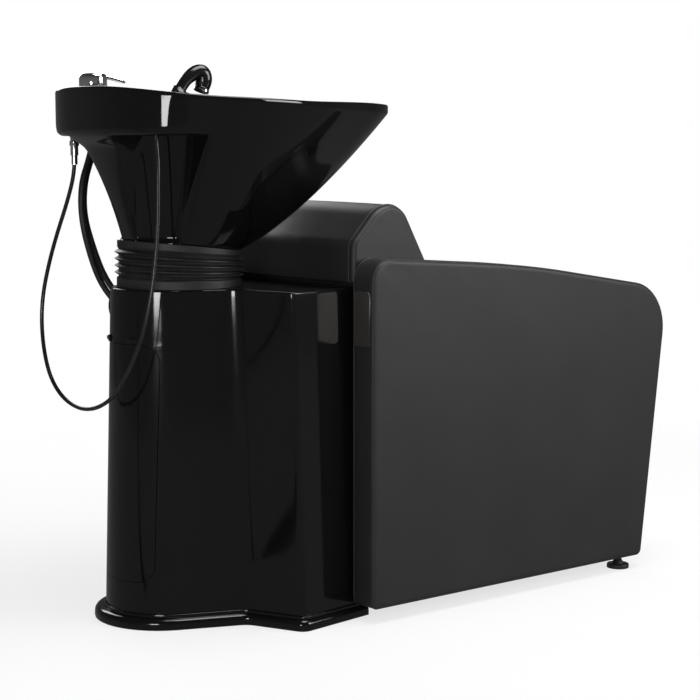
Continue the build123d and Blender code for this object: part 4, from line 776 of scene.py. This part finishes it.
def make_bellows():
    """Gaiter: a zigzag of four pointed folds between two plain bands, turned about the neck's axis; each ring
    leans more the higher it is, and an inner wall three millimetres in closes it."""
    tall = 72.5
    knots = [(0, 111.0), (1, 111.5), (13, 111.5), (15.2, 110.2)]
    for base in (17.0, 27.6, 38.2, 48.8):
        knots += [(base, 107.8), (base + 0.9, 107.6), (base + 4.6, 114.6), (base + 5.3, 115.6), (base + 6.0, 114.6),
                  (base + 9.7, 107.8)]
    knots = np.array(knots + [(60.5, 109.0), (62, 110.0), (71.5, 110.0), (tall, 109.5)])
    rise = np.unique(np.concatenate([knots[:, 0], np.linspace(0, tall, 100)]))
    radius = np.interp(rise, knots[:, 0], knots[:, 1])
    rise, radius = np.append(rise, rise[::-1])[:, None], np.append(radius, radius[::-1] - 3.0)[:, None]
    a = turns(144)
    x = radius * np.cos(a)
    grid = np.stack([pivot[0] + x, radius * np.sin(a), wall_high + rise / tall * (tall - collar_fall * x)], -1)
    obj = grid_piece("gaiter", grid, wrap_rows=True, smooth_angle=65.0)
    return add_piece(obj, "root", "gaiter_rubber", ["bellows"], blend=("root", "basin", (29, 0, 598), (29, 0, 664)))


pedestal_wall()
make_door()
make_flange()
make_bellows()


# ---------------------------------------------------------------- upholstery

def padded_block(corners, radii, low_y, high_y, shares, draws, step=9.0):
    """Padded form and its outline: an outline in X and Z carried across Y. Its edge draws in by a profile across
    the width, its two faces are rows that shrink towards the outline's middle, and a few slow waves of under
    a millimetre run along the edges as in stretched leather."""
    sides = np.linalg.norm(np.roll(corners, -1, 0) - np.asarray(corners, float), axis=1)
    counts, ripple = [max(int(side / step), 2) for side in sides], 0.5

    def drawn_in(draw):
        return rounded_outline(moved_outline(corners, -draw), np.maximum(np.array(radii) - draw, 1.0), 14, counts)

    loop = drawn_in(0.0)
    normal = outline_normals(loop)
    length = np.cumsum(np.linalg.norm(np.roll(loop, -1, 0) - loop, axis=1))
    wave = np.sin(length * 0.071) * 0.6 + np.sin(length * 0.163 + 1.7) * 0.4
    rows = []
    for share, draw in zip(shares, draws):
        ring = drawn_in(draw) - normal * ripple * wave[:, None] * math.sin(math.pi * share) ** 2 * 0.5
        rows.append(np.stack([ring[:, 0], np.full(len(ring), low_y + share * (high_y - low_y)), ring[:, 1]], -1))
    middle = (loop.min(0) + loop.max(0)) / 2

    def face(base, outward):
        """Rows that shrink from an edge row towards the middle, with the edge's wave dying away."""
        made = []
        for s in (0.985, 0.965, 0.94, 0.9, 0.84, 0.76, 0.66, 0.54, 0.42, 0.3, 0.18, 0.08):
            ring = base.copy()
            ring[:, [0, 2]] = middle + (base[:, [0, 2]] - middle) * s
            ring[:, 1] += outward * ripple * wave * math.exp(-(1 - s) / 0.08) * 0.6
            made.append(ring)
        return made

    return np.array(face(rows[0], -1.0)[::-1] + rows + face(rows[-1], 1.0)), loop


def both_edges(shares, draws):
    """Profile across a whole width from the one across its first half."""
    return np.append(shares, 1 - np.array(shares[-2::-1])), np.append(draws, draws[-2::-1])


panel_corners = moved_outline([(232, 26), (920, 26), (983, 556), (600, 618), (232, 645)], [0, 5, 6, 6, 0])
panel_radii = [12, 12, 95, 2400, 40]
panel_edges = both_edges([0.0, 0.008, 0.02, 0.04, 0.06, 0.075, 0.09, 0.11, 0.15, 0.22, 0.35, 0.5],
                         [6.5, 4.6, 3.2, 2.2, 2.0, 3.0, 1.7, 1.1, 0.6, 0.3, 0.1, 0.0])
back_corners = [(236, 601), (313.9, 601), (439.3, 394), (520, 438), (352, 741), (298, 741), (236, 674)]
back_radii = [7, 7, 7, 14, 46, 60, 30]
back_edges = both_edges([0.0, 0.006, 0.014, 0.024, 0.0285, 0.033, 0.045, 0.08, 0.16, 0.3, 0.5],
                        [9.0, 4.6, 2.6, 2.0, 3.0, 2.0, 1.4, 0.9, 0.5, 0.2, 0.0])


def soft_piece(name, grid, nodes):
    """Upholstered piece in the upholstery finish, in place of its CAD nodes."""
    obj = grid_piece(name, grid, smooth_angle=180.0)
    add_piece(obj, "root", "upholstery", nodes)
    return obj


def piping(name, loop, y, radius, inset):
    """Cord sewn into a seam: a thin ring tube along the outline, a little inside it, at one Y."""
    line = loop - outline_normals(loop) * inset
    path = np.stack([line[:, 0], np.full(len(line), y), line[:, 1]], -1)
    obj = grid_piece(name, tube_grid(path, radius, 10, closed=True), wrap_rows=True, smooth_angle=180)
    return add_piece(obj, "root", "upholstery")


def make_panels():
    """Side panels: plain across their width, with a seam and piping near each face."""
    width, inset = 61.0, 0.2
    for low, label in ((-304.0, "right"), (243.0, "left")):
        grid, loop = padded_block(panel_corners, panel_radii, low + inset, low + width - inset, *panel_edges)
        soft_piece(f"side_panel_{label}", grid, [f"armrest_{label}"])
        for share, mark in ((0.075, "a"), (0.925, "b")):
            piping(f"panel_piping_{label}_{mark}", loop, low + width * share, 1.5, 1.5)


def make_backrest():
    """Backrest with a round top: plain across its width, with a sewn end cap and piping near each side."""
    half = 240.5
    grid, loop = padded_block(back_corners, back_radii, -half, half, *back_edges, step=12.0)
    soft_piece("back_pad", grid, ["backrest"])
    for side, label in ((-1, "right"), (1, "left")):
        piping(f"back_piping_{label}", loop, side * half * (1 - 2 * 0.0285), 1.6, 1.7)


def make_seat():
    """Seat cushion: the CAD solid's copy, remeshed and blown up by a cloth run whose moves are capped."""
    obj = merged_copy("seat_cushion", "seat_pad", 0.00001)
    remesh = obj.modifiers.new("even_mesh", "REMESH")
    remesh.mode, remesh.voxel_size = "VOXEL", 0.006
    apply_all(obj)
    rest = read_points(obj.data)
    scene = bpy.context.scene
    cloth = obj.modifiers.new("filling", "CLOTH")
    cloth.settings.use_pressure = True
    cloth.settings.uniform_pressure_force = 4.0
    cloth.settings.effector_weights.gravity = 0.0
    cloth.settings.quality = 4
    cloth.collision_settings.use_collision = False
    for number in range(1, 17):
        scene.frame_set(number)
    apply_all(obj)
    scene.frame_set(1)
    moved = read_points(obj.data) - rest
    size = np.linalg.norm(moved, axis=1)[:, None]
    moved *= np.minimum(1.0, 0.007 / np.maximum(size, 1e-9))
    write_points(obj, rest + moved)
    points = read_points(obj.data)
    low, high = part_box("seat_cushion")
    points = np.clip(points, np.array(low) - 0.0005, np.array(high) + [0.0, 0.0005, 0.006])
    points[:, 1] = np.clip(points[:, 1], low.y, high.y)
    write_points(obj, points)
    relax = obj.modifiers.new("relax", "SMOOTH")
    relax.factor, relax.iterations = 0.5, 8
    apply_all(obj)
    obj.data.shade_smooth()
    add_piece(obj, "root", "upholstery", ["seat_cushion"])
    return obj


def made_mesh(obj):
    """Mesh that an object's modifiers or its curve make."""
    graph = bpy.context.evaluated_depsgraph_get()
    graph.update()
    return bpy.data.meshes.new_from_object(obj.evaluated_get(graph))


def apply_all(obj):
    """Replaces a mesh by what its modifiers make of it, and removes them."""
    made = made_mesh(obj)
    obj.modifiers.clear()
    old, obj.data = obj.data, made
    bpy.data.meshes.remove(old)


def read_points(mesh):
    """A mesh's points as rows."""
    flat = np.empty(len(mesh.vertices) * 3)
    mesh.vertices.foreach_get("co", flat)
    return flat.reshape(-1, 3)


def write_points(obj, points):
    """Gives an object's mesh its points back."""
    obj.data.vertices.foreach_set("co", np.ascontiguousarray(points).ravel())
    obj.data.update()


make_panels()
make_backrest()
make_seat()


# ---------------------------------------------------------------- fittings kept in their CAD shape

def shaded_copy(node, body, name):
    """CAD node's own shape, shaded smooth between its sharp edges."""
    slot_name = next(p["material_slot"] for p in frame["record"]["subparts"] if p["node"] == node)
    obj = merged_copy(node, name, 0.000005)
    obj.data.shade_smooth()
    obj.data.set_sharp_from_angle(angle=math.radians(32.0))
    obj.modifiers.new("even_shading", "WEIGHTED_NORMAL").keep_sharp = True
    return add_piece(obj, body, slot_name, [node])


for node, body, name in (
        ("mixer_body", "basin", "tap_body"), ("mixer_swivel", "mixer_swivel", "tap_spindle"),
        ("handset_collar", "basin", "shower_holder"), ("hose_outlet", "basin", "hose_union"),
        ("bellows_clamp", "root", "gaiter_clamp"), ("bellows_collar", "basin", "gaiter_collar"),
        ("waste_strainer", "basin", "waste_grid"), ("door_catch_right", "door_catch_right", "catch_right"),
        ("door_catch_left", "door_catch_left", "catch_left"), ("hose_grommet", "root", "port_ring"),
        ("levelling_foot_right", "levelling_foot_right", "glide_right"),
        ("levelling_foot_left", "levelling_foot_left", "glide_left"), ("armrest_plate", "root", "bare_plate")):
    shaded_copy(node, body, name)


tap_x, tap_y, tap_pivot_z = -72.0, 120.0, 952.735


def on_ball(radius, heights):
    """Profile points at some heights on a ball about the tap's pivot."""
    return [(math.sqrt(radius ** 2 - (z - tap_pivot_z) ** 2), z) for z in heights]


def turned_tap_piece(name, profile, sides, body, nodes=()):
    """Chrome ring or disc: a closed profile of radius and height pairs turned about the tap's upright axis."""
    r, z = (np.array(profile)[:, i, None] for i in (0, 1))
    a = turns(sides)
    grid = np.stack([tap_x + r * np.cos(a), tap_y + r * np.sin(a), z + 0 * a], -1)
    add_piece(grid_piece(name, grid, wrap_rows=True, smooth_angle=35), body, "chrome_trim", nodes)


def make_tap():
    """Ball, cap and lever of the tap. The cap is a turned profile with a flat crown, hollow by two balls about
    the pivot, so that it clears the tap's body at any lift. The lever is a row of rounded sections: its half
    width and half height shrink to a round tip by the root of one less the run squared, while its middle
    falls by eleven and a half millimetres."""
    ball = on_ball(24.3, np.linspace(938.0, 951.0, 12)) + [(17.0, 951.0), (17.0, 938.0)]
    turned_tap_piece("tap_ball", ball, 72, "basin")
    outside = [(24.6, 949.4), (24.9, 952.0), (25.0, 958.0), (24.8, 964.0), (24.2, 968.0), (22.6, 971.0),
               (20.0, 972.6), (14.0, 973.6), (0.6, 974.2)]
    inside = on_ball(20.4, np.linspace(973.1, 958.0, 14)) + on_ball(24.45, np.linspace(959.0, 949.2, 8))
    turned_tap_piece("tap_cap", outside + inside, 96, "mixer_lever", ["mixer_lever"])
    s = np.linspace(0, 1, 40)[:, None]
    tip = np.sqrt(np.maximum(1 - np.clip((s - 0.8) / 0.2, 0, 1) ** 2, 0.0004))
    width, height = (13.0 - 3.5 * s) * tip, (4.6 - 2.4 * s) * np.sqrt(tip)
    a = turns(28)
    c, n = np.cos(a), np.sin(a)
    x = tap_x + 6.0 + 60.0 * s + 0 * a
    y = tap_y + width * np.sign(c) * np.abs(c) ** 0.7
    z = 968.6 - 11.5 * s ** 1.7 + height * np.sign(n) * np.abs(n) ** 0.8
    lever = grid_piece("tap_lever", np.stack([x, y, z], -1), smooth_angle=60.0)
    add_piece(lever, "mixer_lever", "chrome_trim", ["mixer_lever"])


head_axis = np.array([(-50.0, 944.5), (-28.0, 975.5), (3.0, 977.0), (-9.0, 944.5)])
handset_foot, handset_y = np.array([-95.6, 877.0]), -140.0


def make_handset():
    """Hand shower: a tube whose middle line is straight up its lean and then a cubic curve over to the nozzle,
    (1-t)^3 a + 3t(1-t)^2 b + 3t^2(1-t) c + t^3 d, thickest at the head. A chrome ring closes the nozzle."""
    t = np.linspace(0, 1, 60)[:, None]
    a, b, c, d = head_axis
    bend = (1 - t) ** 3 * a + 3 * t * (1 - t) ** 2 * b + 3 * t ** 2 * (1 - t) * c + t ** 3 * d
    stem = handset_foot + (a - handset_foot) * np.linspace(0, 1, 30)[:-1, None]
    ahead = (d - c) / np.linalg.norm(d - c)
    nozzle = d + ahead * np.array([1.2, 2.0, 2.4, 3.2, 4.0, 8.0, 9.0])[:, None]
    line = np.vstack([stem, bend, nozzle])
    run = np.concatenate([[0], np.cumsum(np.linalg.norm(np.diff(line, axis=0), axis=1))])
    joint = len(stem) + len(bend)
    radius = np.interp(run / run[joint - 1], [0, 0.03, 0.3, 0.42, 0.6, 0.74, 0.84, 0.93, 1.0],
                       [5.5, 8.0, 9.4, 9.6, 10.2, 12.4, 14.0, 14.2, 12.9])
    radius[joint:] = [12.6, 11.9, 11.9, 12.6, 12.9, 12.9, 12.2]
    path = np.stack([line[:, 0], np.full(len(line), handset_y), line[:, 1]], -1)
    obj = grid_piece("hand_shower", tube_grid(path, radius, 40), smooth_angle=60.0)
    add_piece(obj, "handset", "black_plastic", ["handset"])
    steps = nozzle[-1] + ahead * (np.array([-3.4, -3.0, -0.4, 0.4, 0.4, -0.6, -0.6]) + 0.2)[:, None]
    width = np.array([12.2, 13.4, 13.5, 12.6, 11.0, 10.6, 2.0])[:, None]
    turn = turns(48)
    aside, across = width * np.cos(turn), width * np.sin(turn)
    grid = np.stack([steps[:, :1] - ahead[1] * aside, handset_y + across, steps[:, 1:] + ahead[0] * aside], -1)
    add_piece(grid_piece("shower_face", grid, smooth_angle=40.0), "handset", "chrome_trim", ["spray_face"])


make_tap()
make_handset()


# ---------------------------------------------------------------- hoses

shower_route = [(-118, 110, 827), (-118, 110, 798), (-124, 128, 745), (-135, 152, 682), (-143, 170, 626),
                (-150, 180, 572), (-155, 177, 522), (-158, 163, 470), (-160, 136, 426), (-160, 92, 396),
                (-158, 36, 383), (-156, -22, 391), (-151, -72, 417), (-146, -110, 460), (-140, -138, 508),
                (-131, -149, 556), (-123, -155, 606), (-115, -155, 662), (-109, -153, 716), (-106, -150, 770),
                (-104, -148, 816), (-102.4, -142, 840), (-102.4, -140, 861)]
hot_route = [(-66, 123, 848.7), (-76, 124, 822), (-94, 120, 776), (-98, 116, 720), (-82, 112, 660),
             (-62, 108, 606), (-37, 94, 567), (-16, 70, 523), (-4, 52, 470), (0, 44, 380), (6, 38, 280),
             (40, 34, 190), (84, 30, 134), (100, 25, 98), (100, 25, 64)]
cold_route = [(-78, 115, 848.7), (-87, 112, 822), (-107, 108, 776), (-110, 104, 715), (-95, 102, 650),
              (-75, 100, 597), (-49, 87, 558), (-28, 64, 511), (-18, 36, 450), (-14, 6, 360), (-6, -20, 270),
              (32, -34, 190), (82, -34, 134), (100, -25, 98), (100, -25, 64)]
drain_route = [(40, 0, 642), (40, 0, 560), (46, 6, 440), (54, -6, 300), (60, 0, 180), (60, 0, 96)]


def route_curve(name, route, bevel=0.0):
    """Smooth line with the route's points as its controls."""
    curve = bpy.data.curves.new(name, "CURVE")
    curve.dimensions = "3D"
    spline = curve.splines.new("NURBS")
    points = to_frame(route)
    spline.points.add(len(points) - 1)
    spline.points.foreach_set("co", np.column_stack([points, np.ones(len(points))]).ravel())
    spline.order_u = 3
    spline.use_endpoint_u = True
    curve.resolution_u = 12
    curve.bevel_depth, curve.bevel_resolution, curve.use_fill_caps = bevel, 5, bool(bevel)
    return new_object(name, curve)


def route_points(name, route):
    """Points read from the route's own smooth line."""
    line = route_curve(name, route)
    mesh = made_mesh(line)
    points = read_points(mesh)
    bpy.data.meshes.remove(mesh)
    bpy.data.objects.remove(line)
    return points


def even_points(path, count):
    """The same line with its points at even distances."""
    run = np.concatenate([[0], np.cumsum(np.linalg.norm(np.diff(path, axis=0), axis=1))])
    wanted = np.linspace(0, run[-1], count)
    return np.stack([np.interp(wanted, run, path[:, i]) for i in range(3)], 1), run[-1]


def make_shower_hose():
    """Shower hose: a round curve along its route, with its two end fittings."""
    path = route_points("shower_line", shower_route)
    hose = route_curve("shower_tube", shower_route, 0.0036)
    ends = shaded_copy("hose_ferrules", "basin", "hose_ends")
    add_piece(hose, "basin", "hose_black", ["shower_hose"], smooth_hose)


def mesh_hose(name, node, route, radii, count, sides, blend, material=None):
    """Hose as rings along the route's smooth line, with a map in metres along it and turns round it."""
    path, length = even_points(route_points(name + "_line", route), count)
    run = np.linspace(0, length, count)
    uv = np.stack(np.broadcast_arrays(turns(sides)[None], run[:, None]), -1).reshape(-1, 2)
    faces = [tuple(f) for f in grid_quads(count, sides, False, True)]
    faces += [tuple(range(sides))[::-1], tuple((count - 1) * sides + i for i in range(sides))]
    obj = make_object(name, tube_grid(path, radii(run), sides).reshape(-1, 3), faces, smooth_angle=70.0, uv=uv)
    add_piece(obj, "root", "hose_black", [node], material, blend)
    return obj, path, length


def make_fixed_hoses():
    """Supply hoses with their woven cover, and the ribbed waste hose."""
    for name, node, route in (("hot_hose", "supply_hose_hot", hot_route),
                              ("cold_hose", "supply_hose_cold", cold_route)):
        obj, path, length = mesh_hose(name, node, route, lambda run: 0.0055, 220, 20,
                                      ("root", "basin", (0, 0, 480), (0, 0, 780)))

    def folds(run):
        """Ribs 6 mm apart between plain ends: a rounded wave on the radius."""
        ribbed = np.minimum(smooth_step(run / 0.03), smooth_step((run[-1] - run) / 0.03))
        return 0.0186 + ribbed * 0.0013 * np.cos(2 * math.pi * run / 0.006) + (1 - ribbed) * 0.0012

    mesh_hose("waste_hose", "drain_hose", drain_route, folds, 620, 36, ("root", "basin", (0, 0, 200), (0, 0, 620)),
              finishes["gaiter_rubber"])


make_shower_hose()
make_fixed_hoses()


# ---------------------------------------------------------------- studio

def linked_mix(tree, *inputs):
    """Shader between two others by a share."""
    return add_node(tree, "MixShader", dict(enumerate(inputs))).outputs[0]


def ray_kinds(tree):
    """Masks of the rays that come from the camera, and of those that were mirrored or let through."""
    rays = tree.nodes.new("ShaderNodeLightPath").outputs
    return rays["Is Camera Ray"], math_node(tree, "MAXIMUM", rays["Is Glossy Ray"], rays["Is Transmission Ray"])


def stage_sheet(name, corners, faces, finish):
    """Flat sheet of the studio in its finish."""
    mesh = bpy.data.meshes.new(name)
    mesh.from_pydata(corners, [], faces)
    mesh.materials.append(finish.material)
    obj = new_object(name, mesh)
    return obj


def make_floor():
    """Pale floor: a wide sheet that turns white to the camera with the distance, keeps part of the shadow near
    the piece, and shows mirror rays a dim level."""
    f = Finish("pale_floor", (0.86, 0.86, 0.86), 0.9)
    f.tint(f.noise(3.0), (0.84, 0.84, 0.84))
    tree = f.tree
    camera, mirrored = ray_kinds(tree)
    level = math_node(tree, "ADD", camera, math_node(tree, "MULTIPLY", mirrored, 0.16))
    light = add_node(tree, "Emission", {"Color": (1, 1, 1, 1), "Strength": level}).outputs[0]
    reach = add_node(tree, "VectorMath", {0: f.place}, operation="LENGTH").outputs["Value"]
    plain = range_node(tree, reach, 0.9, 2.2, 0.72, 1.0)
    seen = math_node(tree, "MAXIMUM", math_node(tree, "MULTIPLY", camera, plain), mirrored)
    tree.links.new(linked_mix(tree, seen, f.shader.outputs[0], light),
                   tree.nodes["Material Output"].inputs["Surface"])
    size, depth = 3.4, -0.0006
    corners = [(-size, -size, depth), (size, -size, depth), (size, size, depth), (-size, size, depth)]
    stage_sheet("studio_floor", corners, [(0, 1, 2, 3)], f)


def make_world():
    """White to the camera, a dim room to mirror rays that darkens from the horizon upwards, and a soft level
    for the rest."""
    world = bpy.data.worlds.new("studio_room")
    bpy.context.scene.world = world
    world.use_nodes = True
    tree = world.node_tree
    tree.nodes.clear()

    def background(level, strength):
        return add_node(tree, "Background", {"Color": (level, level, level, 1), "Strength": strength}).outputs[0]

    place = add_node(tree, "TexCoord", {}).outputs["Generated"]
    height = add_node(tree, "SeparateXYZ", {0: place}).outputs[2]
    camera, mirrored = ray_kinds(tree)
    dim = background(0.8, range_node(tree, height, 0.0, 0.6, 0.14, 0.05))
    room = linked_mix(tree, mirrored, background(1, 0.34), dim)
    add_node(tree, "OutputWorld", {"Surface": linked_mix(tree, camera, room, background(1, 1.0))})


def aimed(name, data, place, ahead):
    """Lamp or camera at a place, looking in a direction."""
    obj = new_object(name, data)
    obj.location = place
    obj.rotation_euler = Vector(ahead).to_track_quat("-Z", "Y").to_euler()
    return obj


def soft_box(name, place, target, width, height, power):
    """Rectangular lamp that looks at a point."""
    lamp = bpy.data.lights.new(name, "AREA")
    lamp.shape, lamp.size, lamp.size_y, lamp.energy = "RECTANGLE", width, height, power
    aimed(name, lamp, place, Vector(target) - Vector(place))


def make_camera():
    """Lens of 89.6 mm, looking 38 degrees off the width and 6.87 degrees down, from where the photo was taken."""
    data = bpy.data.cameras.new("view_camera")
    data.lens, data.sensor_width = 89.6, 36.0
    azimuth, fall = math.radians(38), math.radians(6.87)
    ahead = (math.sin(azimuth) * math.cos(fall), math.cos(azimuth) * math.cos(fall), -math.sin(fall))
    bpy.context.scene.camera = aimed("view_camera", data, tuple(to_frame((-1651.0, -2648.0, 854.0))), ahead)


def make_flag():
    """Black card that lies and then stands behind the column, seen only in reflections: the dark band on the
    pedestal's flank."""
    corners = to_frame([(-400, -172, 1), (-400, -125, 1), (-2600, 25, 1), (-2600, -71, 1), (-2600, 25, 450),
                        (-2600, -71, 450)])
    f = Finish("flag_cloth", (0.0, 0.0, 0.0), 1.0, Specular_IOR_Level=0.0)
    f.bump(f.noise(900.0), 0.2, 0.0005)
    obj = stage_sheet("black_flag", corners.tolist(), [(0, 1, 2, 3), (3, 2, 4, 5)], f)
    obj.visible_camera = obj.visible_shadow = obj.visible_diffuse = False


make_floor()
make_world()
make_flag()
soft_box("overhead_box", (0.2, -0.6, 2.6), (0.0, 0.0, 0.5), 1.8, 1.2, 46.0)
soft_box("left_strip", (-2.36, -1.69, 0.72), (-0.5, -0.18, 0.9), 0.6, 0.55, 16.0)
soft_box("right_box", (1.7, -2.4, 1.5), (0.3, -0.2, 0.6), 1.3, 1.2, 44.0)
soft_box("rear_box", (0.4, 2.4, 1.8), (0.0, 0.0, 0.6), 2.0, 1.2, 30.0)
make_camera()
bpy.context.scene.view_settings.view_transform = "Standard"
bpy.context.view_layer.update()
